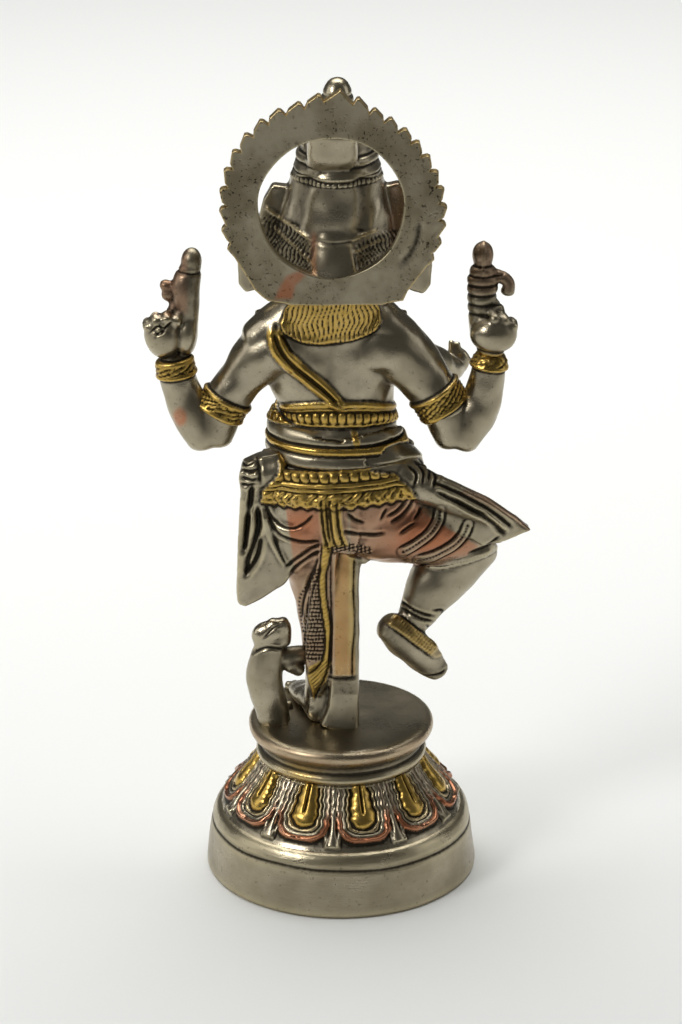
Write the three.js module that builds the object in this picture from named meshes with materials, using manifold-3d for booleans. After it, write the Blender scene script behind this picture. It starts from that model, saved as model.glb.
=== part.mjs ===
// Dancing Ganesh, a cast figure of nickel-silvered brass on a lotus pedestal.
// Millimetres, +Z up. The origin is the centre of the flat underside of the pedestal.
// The figure faces -Y, its left hand side is +X, and the toothed ring stands behind its head at +Y.
// The whole work is one casting, so every form below is joined into one solid.

import * as THREE from "three";
import { mergeVertices } from "three/addons/utils/BufferGeometryUtils.js";
import Module from "manifold-3d";

const wasm = await Module();
wasm.setup();

// Driving dimensions of the pedestal
const BASE_RADIUS = 37.5;
const BAND_TOP = 13.5;
const BAND_TOP_RADIUS = 36;
const COLLAR_RADIUS = 23.2;
const DISC_RADIUS = 25.6;
const DISC_TOP = 44;
const PETAL_COUNT = 11;
const PETAL_RELIEF = 1.3;
const PETAL_FOOT = 17.6;
const PETAL_HEAD = 32.8;
const PETAL_WIDTH = 0.86;
const PETAL_EDGE = 4;
const PETAL_TURN = 0.12;
const PETAL_WARP = 0.038;
const PEDESTAL_SIDES = 44;

// Driving dimensions of the toothed ring behind the head
const RING_CENTRE = { x: 2, z: 195.2 };
const RING_HOLE = { x: 2.5, z: 195.6, radius: 19 };
const RING_TIP_RADIUS = 29.3;
const RING_LOPSIDED = 0.9;
const RING_TOOTH_DEPTH = 1.9;
const RING_APEX_ANGLE = 93.2;
const RING_LEFT_TEETH = { count: 11, pitch: 10.4 };
const RING_RIGHT_TEETH = { count: 12, pitch: 9.5 };
const RING_APEX_RISE = 2.8;
const RING_BOTTOM = 169.2;
const RING_BACK = 15.6;
const RING_THICKNESS = 3;

// Sides round a swept form, by how thick it is
const COARSE = 6;
const MEDIUM = 8;
const FINE = 16;

// A swept form's end that stands out less than this share of its radius has no rounded shoulder
const FLAT_DOME = 0.3;

const FRONT_TO_BACK = new THREE.Vector3(0, 1, 0);
const UPWARD = new THREE.Vector3(0, 0, 1);
const SIDEWAYS = new THREE.Vector3(1, 0, 0);

// Turns a closed geometry into a solid that can be joined and cut.
function solidOf(geometry) {
  const bare = geometry.clone();
  bare.deleteAttribute("normal");
  bare.deleteAttribute("uv");
  const merged = mergeVertices(bare, 1e-4);
  const index = merged.index.array;
  const kept = [];
  for (let i = 0; i < index.length; i += 3) {
    const [a, b, c] = [index[i], index[i + 1], index[i + 2]];
    if (a !== b && b !== c && c !== a) kept.push(a, b, c);
  }
  return new wasm.Manifold(new wasm.Mesh({
    numProp: 3,
    vertProperties: new Float32Array(merged.attributes.position.array),
    triVerts: new Uint32Array(kept),
  }));
}

// Turns a solid back into a geometry for a mesh.
function geometryOf(solid) {
  const mesh = solid.getMesh();
  const geometry = new THREE.BufferGeometry();
  geometry.setAttribute("position", new THREE.BufferAttribute(mesh.vertProperties, 3));
  geometry.setIndex(new THREE.BufferAttribute(mesh.triVerts, 1));
  geometry.computeVertexNormals();
  return geometry;
}

// A form swept through stations [x, y, z, half width, half depth], with domed ends.
// A lathed capsule is bent along the curve: its axis becomes the path, its circle the section.
// "depth" is the direction that the section's depth keeps to, and "square" above 2 flattens its sides.
function limb(stations, { sides = MEDIUM, depth = FRONT_TO_BACK, square = 2, dome = 0.6 } = {}) {
  const path = new THREE.CatmullRomCurve3(stations.map(([x, y, z]) => new THREE.Vector3(x, y, z)));
  const sizes = new THREE.CatmullRomCurve3(stations.map(([, , , a, b]) => new THREE.Vector3(a, b, 0)));
  const last = stations.length - 1;
  const shoulders = dome > FLAT_DOME ? [[0.7, -0.65], [0.7, 1.65]] : [];
  const rows = [[0, -1], ...shoulders.slice(0, 1), ...stations.map((_, i) => [1, i / last]),
    ...shoulders.slice(1), [0, 2]];
  const profile = rows.map(([reach, along]) => new THREE.Vector2(reach, along));
  const geometry = new THREE.LatheGeometry(profile, sides);
  const position = geometry.attributes.position;
  const [point, tangent, across, deep, size] = Array.from({ length: 5 }, () => new THREE.Vector3());
  for (let i = 0; i < position.count; i++) {
    const [u, v, w] = [position.getX(i), position.getY(i), position.getZ(i)];
    const along = THREE.MathUtils.clamp(v, 0, 1);
    path.getPoint(along, point);
    sizes.getPoint(along, size);
    path.getTangent(along, tangent);
    deep.copy(depth).addScaledVector(tangent, -depth.dot(tangent)).normalize();
    across.crossVectors(tangent, deep);
    const reach = Math.hypot(u, w);
    const [cos, sin] = reach > 0 ? [u / reach, w / reach] : [1, 0];
    const swell = (Math.abs(cos) ** square + Math.abs(sin) ** square) ** (-1 / square);
    point.addScaledVector(across, u * swell * size.x).addScaledVector(deep, w * swell * size.y);
    point.addScaledVector(tangent, (v - along) * dome * Math.min(size.x, size.y));
    position.setXYZ(i, point.x, point.y, point.z);
  }
  return solidOf(geometry);
}

// An ellipsoid: centre [x, y, z], half sizes [a, b, c], turned about Y by "lean" degrees.
function blob([x, y, z], [a, b, c], lean = 0, sides = MEDIUM) {
  const geometry = new THREE.SphereGeometry(1, sides, Math.round(sides * 0.7));
  geometry.rotateX(Math.PI / 2);
  geometry.scale(a, b, c);
  geometry.rotateY(THREE.MathUtils.degToRad(lean));
  geometry.translate(x, y, z);
  return solidOf(geometry);
}

// A flat plate with its outline in the XZ plane, from back face y = "back" and "thickness" deep.
function plate(outline, back, thickness, hole) {
  const shape = new THREE.Shape(outline.map(([x, z]) => new THREE.Vector2(x, z)));
  if (hole) shape.holes.push(hole);
  const geometry = new THREE.ExtrudeGeometry(shape, { depth: thickness, bevelEnabled: false });
  geometry.rotateX(Math.PI / 2);
  geometry.translate(0, back, 0);
  return solidOf(geometry);
}

// Half-width and half-depth of the trunk of the body, from the hem of the loins to the neck.
const TORSO = [
  [-1, 2.5, 96, 11, 7],
  [-1, 2.2, 100, 17.5, 10.5],
  [-0.8, 1.8, 105, 21.3, 12.6],
  [-0.6, 1.4, 110, 22.8, 13.4],
  [-0.4, 0.6, 116, 22.4, 13.4],
  [0.9, -1.8, 121.5, 18.8, 14],
  [1.9, -4, 127, 17.8, 14.4],
  [0.9, -3.6, 132.5, 15.2, 12.8],
  [1, -2, 138.6, 15.4, 11.2],
  [2.4, -0.4, 145, 17.6, 10],
  [3, 0.6, 154, 20.5, 8.8],
  [2.7, 1.4, 160, 18, 8.4],
  [2.4, 2.2, 165, 14.2, 9],
  [2.1, 2.4, 171, 12.6, 9.6],
];

// The body's section at a height, between the two stations round it.
function torsoAt(z) {
  const upper = TORSO.findIndex((station) => station[2] >= z);
  const [low, high] = [TORSO[upper - 1], TORSO[upper]];
  const share = (z - low[2]) / (high[2] - low[2]);
  return low.map((value, i) => value + share * (high[i] - value));
}

// A belt round the body from "bottom" to "top" that stands "proud" of it.
function belt(bottom, top, proud) {
  const stations = [bottom, top].map((z) => {
    const [x, y, , a, b] = torsoAt(z);
    return [x, y, z, a + proud, b + proud];
  });
  return limb(stations, { sides: FINE, dome: 0.05 });
}

// A band round an arm or a shin, from one point of its axis to another.
function band(from, to, halfWidth, halfDepth) {
  return limb([[...from, halfWidth, halfDepth], [...to, halfWidth, halfDepth]],
    { sides: MEDIUM, dome: 0.08 });
}

// How far a point of the bell stands out: rounded petals with a groove between, 0 to 1.
// The petals of the casting are not quite evenly spaced, which the warp gives.
function petal(turn, height) {
  const warped = turn - PETAL_WARP * Math.sin(turn);
  const place = (warped * PETAL_COUNT) / (2 * Math.PI) + PETAL_TURN;
  const across = Math.abs(THREE.MathUtils.euclideanModulo(place, 1) - 0.5) * 2;
  const down = THREE.MathUtils.clamp((PETAL_HEAD - height) / (PETAL_HEAD - PETAL_FOOT), 0, 1);
  const width = PETAL_WIDTH * Math.sqrt(Math.max(0, 1 - down ** 6));
  return across < width ? Math.min(1, (width - across) * PETAL_EDGE) * Math.min(1, down * 5) : 0;
}

// The lathed pedestal: plain lower band, dark step, lotus bell, collar and the round disc underfoot.
function pedestal() {
  const rows = [
    [0, 0], [BASE_RADIUS - 0.3, 0], [BASE_RADIUS, 0.6], [BAND_TOP_RADIUS + 0.1, BAND_TOP - 0.4],
    [BAND_TOP_RADIUS - 0.5, BAND_TOP], [BAND_TOP_RADIUS - 0.2, BAND_TOP + 0.5], [35, 16.6],
    [34.2, PETAL_FOOT], [32.5, 19.6], [29.8, 22.6], [27, 25.8], [24.4, 29.2], [22.4, PETAL_HEAD],
    [22, 33.8], [COLLAR_RADIUS, 34.6], [COLLAR_RADIUS, 35.8], [22.1, 36.6], [22.8, 38.6], [25, 40.2],
    [DISC_RADIUS, 41.7], [25.2, 43], [23.9, 43.7], [21.6, DISC_TOP], [0, DISC_TOP],
  ];
  const geometry = new THREE.LatheGeometry(rows.map(([r, z]) => new THREE.Vector2(r, z)), PEDESTAL_SIDES);
  const position = geometry.attributes.position;
  for (let i = 0; i < position.count; i++) {
    const [x, height, y] = [position.getX(i), position.getY(i), position.getZ(i)];
    const radius = Math.hypot(x, y);
    const inPetals = height > PETAL_FOOT - 0.1 && height < PETAL_HEAD + 0.1;
    const out = inPetals ? PETAL_RELIEF * (petal(Math.atan2(-x, -y), height) - 0.5) : 0;
    const grow = radius > 0 ? 1 + out / radius : 1;
    position.setXYZ(i, x * grow, height, y * grow);
  }
  geometry.rotateX(Math.PI / 2);
  return solidOf(geometry);
}

// The ring behind the head: saw teeth that lean up to a pointed apex, and a flat foot.
// Its rim is a little fuller on the figure's left than on its right.
function toothedRing() {
  const at = (degrees, radius) => {
    const turn = THREE.MathUtils.degToRad(degrees);
    const rise = RING_APEX_RISE * Math.max(0, 1 - Math.abs(RING_APEX_ANGLE - degrees) / 20);
    const fuller = Math.sin(turn) > 0 ? RING_LOPSIDED * Math.sin(2 * turn) : 0;
    const reach = radius + rise + fuller;
    return [RING_CENTRE.x + reach * Math.cos(turn), RING_CENTRE.z + reach * Math.sin(turn)];
  };
  const teeth = (side, { count, pitch }) => Array.from({ length: count }, (_, i) => {
    const tip = RING_APEX_ANGLE - side * (count - i) * pitch;
    return [at(tip - side * 5.2, RING_TIP_RADIUS - 0.9), at(tip, RING_TIP_RADIUS),
      at(tip + side * 1.6, RING_TIP_RADIUS - RING_TOOTH_DEPTH)];
  }).flat();
  const outline = [
    [13.9, RING_BOTTOM], [19.8, 170.5], [22.4, 173.1], ...teeth(1, RING_LEFT_TEETH),
    at(RING_APEX_ANGLE, RING_TIP_RADIUS),
    ...teeth(-1, RING_RIGHT_TEETH).reverse(), [-17.3, 172.8], [-16.3, 170.2], [-10.7, RING_BOTTOM],
  ];
  const hole = new THREE.Path();
  hole.absarc(RING_HOLE.x, RING_HOLE.z, RING_HOLE.radius, 0, 2 * Math.PI, true);
  return plate(outline, RING_BACK, RING_THICKNESS, new THREE.Path(hole.getPoints(32).slice(0, -1)));
}

function head() {
  const skull = limb([
    [1.8, 0.5, 170, 12, 9.5], [1.6, -1.5, 177, 15.4, 12.6], [1.4, -2.8, 184, 15.6, 14.2],
    [1.2, -2.6, 191, 14.4, 13.6], [1.1, -1.6, 198, 12.4, 12], [1, -0.8, 204, 11, 11],
  ], { sides: FINE, dome: 0.2 });
  const trunk = limb([
    [1.4, -13, 184, 7, 6], [1.4, -17.8, 176, 5.4, 5.2], [0.9, -20, 166, 4.6, 4.6], [0.4, -21.2, 156, 4, 4],
    [1.4, -22.8, 149, 3.5, 3.4], [4.2, -25.4, 144.8, 3, 3], [6, -28.2, 145.8, 2.3, 2.3],
  ], { sides: MEDIUM, depth: SIDEWAYS });
  const leftTusk = limb([[5.4, -13.5, 174, 2, 2], [7.4, -19, 170.6, 1.5, 1.5], [8.6, -23, 169.4, 0.9, 0.9]],
    { sides: COARSE, depth: SIDEWAYS });
  const rightTusk = limb([[-2.6, -13.5, 174, 2, 2], [-4.6, -18.2, 171.2, 1.6, 1.6]],
    { sides: COARSE, depth: SIDEWAYS });
  const mouth = blob([1.6, -12.5, 171.5], [5.5, 4.5, 4]);
  const leftEar = plate([
    [11, 193.6], [16.4, 192.6], [20.4, 188.4], [25.2, 182.6], [27.5, 175.4], [27.5, 169.4], [25.2, 166.8],
    [21.6, 167.8], [17.6, 171.6], [12, 177],
  ], -1, 3);
  const rightEar = plate([
    [-9, 193.8], [-9, 177], [-13.6, 171], [-18.4, 167.2], [-21.8, 166.4], [-24.2, 169], [-24.2, 176],
    [-21.6, 184.6], [-16.8, 191.6], [-14, 193.8],
  ], -1, 3);
  return [skull, trunk, leftTusk, rightTusk, mouth, leftEar, rightEar];
}

function crown() {
  const profile = [
    [0, 200], [11, 201.4], [11.4, 202.8], [10.6, 203.8], [11, 205.2], [10.6, 206.8], [9.4, 208.2], [9.2, 211],
    [8, 214.4], [6.2, 217.4], [4.6, 219.4], [4.1, 221.2], [3.3, 224.2], [1.9, 226], [0, 226.7],
  ];
  const geometry = new THREE.LatheGeometry(profile.map(([r, z]) => new THREE.Vector2(r, z)), FINE);
  geometry.rotateX(Math.PI / 2);
  geometry.translate(1, -0.8, 0);
  const bridge = limb([[2.2, 6.5, 206, 6.8, 3.4], [2.2, 10, 210, 6.6, 3.4], [2, 13.4, 215.5, 6, 2]],
    { square: 3 });
  const nape = limb([[1.9, 7, 189, 5.4, 3.4], [1.9, 9.8, 181, 5.2, 3.6], [2, 13, 172, 6.6, 2.4]],
    { square: 3 });
  return [solidOf(geometry), bridge, nape];
}

function rearArms() {
  const left = [
    limb([[9, 1.4, 163, 6.4, 7], [16, 1.6, 159.6, 6, 6.6], [22, 1.8, 154.6, 5.6, 6]]),
    limb([[10, 1, 153.5, 9, 8], [16, 1.6, 153.2, 9, 8], [21.2, 2, 150.2, 7.8, 7.2], [26.7, 2.3, 143.9, 6.1, 6],
      [31.8, 2.5, 136, 6.3, 6], [35, 2.5, 128.8, 6.4, 6]]),
    limb([[36, 2.5, 127.8, 5.8, 6], [40.3, 2.5, 135.4, 5.7, 5.4], [42.7, 2.5, 141.3, 5, 4.8],
      [44.2, 2.5, 148, 4.9, 4.5]]),
    band([30.9, 2.4, 139.6], [33.5, 2.5, 134.8], 6.9, 6.6),
    band([43.8, 2.5, 145], [44.5, 2.5, 149.6], 5.5, 5.1),
    blob([47.5, 3, 156.4], [5.2, 5, 6.4], 8),
    blob([41, 1.5, 156], [3.2, 4.4, 6], -6),
  ];
  const right = [
    limb([[-6, 1, 153.5, 9, 8], [-12.6, 1.6, 153.4, 9.2, 8], [-18.6, 2.1, 148.6, 7.8, 7.2],
      [-24, 2.4, 141.5, 6.8, 6.5], [-28.4, 2.5, 134.4, 6.7, 6.3], [-30.8, 2.5, 128.2, 6.2, 6]]),
    limb([[-31.6, 2.5, 127.8, 5.9, 6], [-36.4, 2.5, 135, 5.8, 5.4], [-38.4, 2.5, 141, 5, 4.8],
      [-39.6, 2.5, 149, 4.4, 4.4]]),
    band([-24.4, 2.4, 140.9], [-27.8, 2.5, 135.5], 7.4, 7.1),
    band([-39.2, 2.5, 147.4], [-39.8, 2.5, 152.4], 5, 4.9),
    blob([-40.4, 3, 157], [6.7, 5, 5.6], 0),
  ];
  return [...left, ...right];
}

// The two things the raised rear hands hold, each a stem with a domed head and a lobe to the outside.
function attributes() {
  const left = [
    limb([[41, 1, 157, 3, 3], [41, 0.8, 164, 3.7, 3.5], [40.9, 0.5, 170, 3.9, 3.8], [39.8, 0.3, 174, 3.2, 3]]),
    blob([39.5, 0, 176.2], [3, 3.1, 3.6]),
    blob([46.2, 0.3, 168.2], [2.2, 2.2, 3.2], 0, COARSE),
    limb([[46, 1, 158, 2.4, 2.4], [43.4, 0.8, 164.4, 2.2, 2.2]], { sides: COARSE }),
    limb([[42, 0.4, 170, 2, 2], [45.6, 0.3, 170, 1.8, 1.8]], { sides: COARSE }),
  ];
  const right = [
    limb([[-37.2, 1, 157, 3.2, 3.2], [-37.2, 0.8, 164, 3.9, 3.6], [-37.4, 0.5, 170.5, 4.3, 3.8],
      [-37.4, 0.2, 174.5, 3.3, 3.2]]),
    blob([-37.4, 0, 177.8], [3.1, 3.1, 3.7]),
    limb([[-39.6, 0.2, 172, 2, 2], [-43.4, 0.1, 171, 2.1, 2.1], [-44.3, 0, 168, 2.3, 2.2]], { sides: COARSE }),
    blob([-41.6, 1.6, 163.4], [1.9, 2, 3], 20, COARSE),
  ];
  return [...left, ...right];
}

// The two arms in front: the right hand is raised open, the left one holds a bowl of sweets.
function frontArms() {
  const fingers = [[-28.3, 141.8], [-29.8, 147.8], [-31.6, 147.4], [-33.4, 143.6], [-34.9, 142.8]].map(
    ([x, top]) => limb([[-31.2 + (x + 31.2) * 0.6, -18, 140.4, 0.9, 1.2], [x, -18.2, top - 0.8, 0.7, 0.9]],
      { sides: COARSE }));
  return [
    limb([[-10, -2, 151, 7, 6], [-19, -7, 147.2, 5.6, 5.4], [-26.4, -12, 142.2, 4.8, 4.6]]),
    limb([[-26.4, -12.2, 142, 4.6, 4.4], [-29.2, -15.4, 140, 3.9, 3.7], [-31, -17.6, 139.8, 3.2, 3]],
      { depth: UPWARD }),
    blob([-31.4, -18, 141.4], [3.7, 2, 4]),
    ...fingers,
    limb([[11, -2, 150, 6, 6], [10.8, -9, 143.6, 5.2, 5.2], [10.6, -14, 138.8, 4.7, 4.6]]),
    limb([[10.6, -14.2, 138.4, 4.6, 4.4], [9.2, -20, 135.2, 3.8, 3.6], [6.6, -24.2, 134, 3.4, 3]],
      { depth: UPWARD }),
    blob([5.4, -26, 135.4], [4.4, 4.4, 2.4]),
    blob([5.4, -26.2, 138.2], [3.2, 3.2, 3]),
  ];
}

function legs() {
  const standing = limb([
    [10, 2, 104, 11.4, 11], [9.7, 1, 96, 8.8, 9.2], [8.8, -0.4, 88.5, 6.5, 7.3], [8, -0.6, 81.5, 5.3, 6.1],
    [7, 0, 74, 4.7, 5.4], [6.4, 0.8, 66, 4.3, 4.9], [6, 1.2, 58, 3.8, 4.3], [6, 1.6, 48, 4.2, 4.8],
  ]);
  const standingFoot = limb([[6, 4.4, 46.8, 3.6, 3.2], [7.4, -2, 47.4, 4.2, 3.6], [9.4, -9, 46.4, 4.7, 2.8],
    [11, -15, 45.4, 4, 1.9]], { depth: UPWARD });
  const thigh = limb([[-8, 2, 104, 12, 11.4], [-16, 0, 101.6, 11.4, 11], [-24, -3, 99.6, 10.8, 10.6],
    [-31, -6, 97, 9.9, 9.9], [-36.2, -8, 93.8, 8.6, 8.8]]);
  const shin = limb([[-35.4, -8, 93, 8.8, 8.6], [-30, -6.5, 86.6, 8.7, 8.3], [-25.7, -4.8, 81.2, 7.8, 7.6],
    [-22.6, -3.2, 76.4, 6.2, 6], [-20, -2, 71.8, 4.8, 4.8]]);
  const raisedFoot = limb([[-12.8, 1.5, 71.6, 4.2, 3.6], [-16.6, 0.5, 68, 5.4, 4.2], [-20.6, -0.5, 63.4, 5, 4],
    [-24.4, -1.5, 58.9, 4.3, 3.2], [-27.2, -2, 56, 3.1, 2.3]]);
  const post = limb([[-2, 5, 95.4, 6.4, 4.2], [-1.1, 5, 91, 4.1, 3.5], [-1, 4.8, 70, 4, 3.3],
    [-0.8, 4.8, 52, 4.1, 3.6], [0.4, 4.8, 43.6, 5.6, 5]], { square: 4, dome: 0.1 });
  return [standing, standingFoot, thigh, shin, raisedFoot, post];
}

function drapery() {
  const leftSash = plate([
    [18, 126.2], [23.6, 124.2], [27.2, 121.6], [27.7, 116.7], [27, 112.5], [27, 104.6], [27.8, 92.9],
    [28.5, 84], [28, 80.2], [25.8, 79.4], [21.5, 81.8], [15.5, 85.5], [13, 90.6], [15, 110],
  ], 7, 4.4);
  const rightSash = plate([
    [-15, 122], [-17, 111], [-25.4, 107], [-33, 100], [-38, 96], [-44.1, 97.6], [-48.4, 99.6], [-51.9, 101.1],
    [-49.7, 103], [-46.6, 105.7], [-42.8, 108.6], [-37.9, 111.5], [-30.4, 114.4], [-25.3, 117.4],
    [-21.6, 120.2],
  ], 6.4, 5);
  const rearPleat = limb([[-1.2, 13.6, 110, 4.3, 2], [-1.3, 13.2, 104, 4.2, 2.2], [-0.4, 11, 98.6, 4, 2.4]],
    { square: 3, dome: 0.3 });
  const tail = limb([[2.4, 11.8, 103, 2.6, 2], [4.2, 9.4, 93, 3, 1.8], [5, 7, 84, 3.4, 1.8],
    [5.5, 6.2, 74, 3.8, 1.8], [6, 5.9, 64, 3.9, 1.7], [6.3, 5.7, 57, 3, 1.5], [6.5, 5.6, 53.4, 1.4, 1.1]],
    { square: 3 });
  const frontPleat = limb([[0.6, -11.5, 110, 5.4, 2.2], [1.4, -9.6, 98, 5, 2.4], [2.4, -7.4, 86, 4.6, 2]],
    { square: 3, dome: 0.3 });
  return [leftSash, rightSash, rearPleat, tail, frontPleat];
}

function ornaments() {
  return [
    belt(111.4, 120.8, 1.1),
    belt(125.4, 127, 0.8),
    belt(132, 139, 0.8),
    limb([[2.2, 2.4, 156.6, 17, 9.4], [2.3, 2.8, 161, 15.2, 9.6], [2.2, 3.2, 168, 13.6, 10]],
      { sides: FINE, dome: 0.1 }),
    limb([[17.6, 7, 162.5, 1.5, 1.2], [16, 9.4, 155, 1.5, 1.2], [10, 9.8, 147.6, 1.5, 1.2],
      [2.4, 9.2, 141, 1.5, 1.2], [0, 9.2, 138, 1.5, 1.2]], { sides: COARSE }),
  ];
}

// The mouse sits up at the rim of the disc, with its back to +X and a paw on the figure's leg.
function mouse() {
  return [
    limb([[17.6, 3.4, 43.6, 3.8, 4.2], [19.6, 3.8, 50, 5, 4.8], [21.3, 4, 57, 5.2, 4.6], [20.2, 4, 63, 4.9, 4],
      [18.4, 4, 68.4, 3.8, 3.2]]),
    limb([[17.6, 4, 69.4, 3.4, 3], [18.2, 4.2, 71.8, 4, 3.2], [17, 4.2, 73.4, 3.4, 2.6]], { sides: COARSE }),
    limb([[18.6, 3.4, 62.6, 2.8, 2.8], [14.4, 2.8, 62.8, 2.8, 2.8], [10.4, 1.6, 63.4, 2.4, 2.4]],
      { sides: COARSE }),
  ];
}

// Joins every form into the one casting, and keeps only its outer shell, so no small pocket is left inside.
function casting() {
  const forms = [
    pedestal(), toothedRing(), limb(TORSO, { sides: FINE, dome: 0.15 }), ...head(), ...crown(),
    ...rearArms(), ...attributes(), ...frontArms(), ...legs(), ...drapery(), ...ornaments(), ...mouse(),
  ];
  const joined = forms.reduce((whole, form) => whole.add(form));
  const shells = joined.decompose();
  return shells.reduce((outer, shell) => (shell.volume() > outer.volume() ? shell : outer));
}

const figure = new THREE.Group();
const silveredBrass = new THREE.MeshStandardMaterial({ color: 0x8a8069, roughness: 0.38, metalness: 1 });
const statue = new THREE.Mesh(geometryOf(casting()), silveredBrass);
statue.name = "dancing_ganesh_casting";
figure.add(statue);

export default figure;
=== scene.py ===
"""Dancing Ganesh, a cast figure of silvered brass on a lotus pedestal.

Millimetres in the numbers below, metres in the scene. The figure faces -Y, its left hand side is +X,
and the toothed ring stands behind its head at +Y. The origin is the centre of the flat underside.
"""

import bpy
import numpy as np
from bpy.props import FloatProperty, FloatVectorProperty, IntProperty, PointerProperty
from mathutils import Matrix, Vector


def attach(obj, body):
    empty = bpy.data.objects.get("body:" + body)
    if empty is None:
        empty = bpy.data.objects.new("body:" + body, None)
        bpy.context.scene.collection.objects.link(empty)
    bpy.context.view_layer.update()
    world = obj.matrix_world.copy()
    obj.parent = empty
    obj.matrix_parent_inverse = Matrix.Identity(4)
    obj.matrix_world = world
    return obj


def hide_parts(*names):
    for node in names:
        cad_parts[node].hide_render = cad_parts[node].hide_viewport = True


bl_info = {
    "name": "Dancing Ganesh casting",
    "version": (1, 0, 0),
    "blender": (4, 5, 0),
    "location": "View3D > Sidebar > Ganesh",
    "description": "Builds a cast and chased dancing Ganesh figure on a lotus pedestal",
    "category": "Add Mesh",
}

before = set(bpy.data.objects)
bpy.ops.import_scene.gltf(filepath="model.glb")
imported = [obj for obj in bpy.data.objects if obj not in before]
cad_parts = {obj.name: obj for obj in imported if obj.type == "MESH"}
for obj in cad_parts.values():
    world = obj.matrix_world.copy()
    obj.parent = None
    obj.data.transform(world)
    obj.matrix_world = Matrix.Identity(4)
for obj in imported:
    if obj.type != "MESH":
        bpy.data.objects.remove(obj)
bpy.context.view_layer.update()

MM = 0.001

# Where the picture is taken from, and how steeply the camera looks down
EYE = np.array([0.0, 1013.5, 522.6])
CAMERA_PITCH = 22.42
CAMERA_LENS = 142.35

# Lower pedestal, from the photograph's ellipses with the base taken as 75 mm across
BASE_RADIUS = 37.5
BAND_TOP = 13.5
BELL_FOOT = 17.6
BELL_HEAD = 32.8
DISC_TOP = 44.0
PETALS = 11

# Sections of the trunk: centre x, centre y, height, half width, half depth
TORSO = np.array([
    [-1, 2.5, 96, 11, 7], [-1, 2.2, 100, 17.5, 10.5], [-0.8, 1.8, 105, 21.3, 12.6],
    [-0.6, 1.4, 110, 22.8, 13.4], [-0.4, 0.6, 116, 22.4, 13.4], [0.9, -1.8, 121.5, 18.8, 14],
    [1.9, -4, 127, 17.8, 14.4], [0.9, -3.6, 132.5, 15.2, 12.8], [1, -2, 138.6, 15.4, 11.2],
    [2.4, -0.4, 145, 17.6, 10], [3, 0.6, 154, 20.5, 8.8], [2.7, 1.4, 160, 18, 8.4],
    [2.4, 2.2, 165, 14.2, 9], [2.1, 2.4, 171, 12.6, 9.6],
])
HIPS_TOP = 120.6

UPWARD = (0.0, 0.0, 1.0)
SIDEWAYS = (1.0, 0.0, 0.0)
BACKWARD = (0.0, 1.0, 0.0)

# Lines that the chaser cut or raised on the back, as X and Z where the sight line crosses Y = 0
THREAD_LEFT = [
    [(18.8, 156.8), (18.6, 153.4), (17.3, 149.9), (14.7, 146.8), (11.2, 143.7), (7.7, 140.6),
     (4.1, 137.5), (1.2, 135.1), (-0.8, 133.8)],
]
THREAD_RIGHT = [
    [(16.5, 157.1), (15.5, 153.4), (13.6, 150.1), (10.5, 147), (7, 143.7), (3.8, 140.6), (1.3, 137.8),
     (-0.8, 135.2)],
]
THREAD_LEAF = [
    [(17.5, 158.5), (16.6, 156.1), (14.7, 153.4), (13.1, 150.1)],
]
THREAD_LOW = [
    [(-3.3, 128.1), (-3.9, 125.3), (-4.4, 122.9)],
]
COLLAR_LEFT = [
    [(12.7, 165.3), (14.7, 162.3), (16.2, 158.8), (15.5, 156.6)],
]
COLLAR_RIGHT = [
    [(-8.8, 165.3), (-10.1, 162.3), (-10.7, 159.2), (-9.5, 156.8)],
]
COLLAR_HEM = [
    [(16, 157.8), (14.7, 155.4), (12.1, 154.1), (8.9, 153.2), (5, 152.8), (1.2, 153.2), (-2.7, 154.1),
     (-5.9, 155.3), (-8.8, 156.6), (-10.7, 158.5)],
]
BUTTOCK_FOLDS = [
    [(20.6, 106.7), (18.8, 103.1), (16.1, 100.4), (13.1, 99.6), (10.1, 100.9), (7.8, 103.3)],
    [(19.7, 104), (17.7, 98.8), (14.9, 96.8), (10.7, 95.6), (6.2, 95.8)],
    [(18.3, 97.2), (16.8, 92.9), (15, 88.9)],
    [(-1.7, 104), (-3.8, 102.2), (-6, 101.4)],
    [(-0.8, 98.8), (-5.1, 98), (-8.7, 97.8), (-11.7, 98.3)],
    [(-13.8, 101.6), (-16.5, 103.4), (-18.6, 106), (-19.5, 108.6)],
    [(-12.3, 103.1), (-15.3, 105), (-17.4, 107.6)],
    [(-19.7, 102.2), (-20.9, 103.9), (-21.5, 105.6)],
    [(-10.8, 102.1), (-11.6, 103.9), (-12.3, 105.4)],
    [(-16, 98.1), (-18.4, 100.1), (-20.2, 101.4)],
]
LEG_HEMS = [
    [(15, 88.3), (12.5, 90.4), (9.5, 92.6), (6, 94.9)],
    [(14.1, 86.1), (11.9, 88.5), (8.9, 91), (5.6, 93.1)],
    [(6.2, 91.2), (7.8, 86.3), (9.4, 81.6), (10.5, 77), (10.6, 73)],
    [(5.1, 88.3), (7.1, 83), (8.6, 78.3), (9.6, 73.6)],
]
LEG_DOTS = [
    [(7.1, 87.3), (9, 83.1), (10.8, 80.3), (11.5, 77), (11.1, 73.3), (10.5, 69)],
]
THIGH_BAND_HIGH = [
    [(-26.8, 105), (-26.3, 101.8), (-24.1, 98.1), (-20.8, 95.2), (-16.6, 92.6)],
]
THIGH_BAND_LOW = [
    [(-34.5, 100.9), (-33.1, 97.5), (-29.8, 94.1), (-25.4, 91.6), (-20.9, 90.1)],
]
KNEE_HEM = [
    [(-43.6, 95.8), (-40.6, 93), (-36.3, 91), (-31.2, 89.3), (-26.3, 88.4), (-23.3, 88.8)],
]
KNEE_LINE = [
    [(-42.9, 97.2), (-39.6, 94.5), (-34.8, 92.2)],
]
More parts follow.
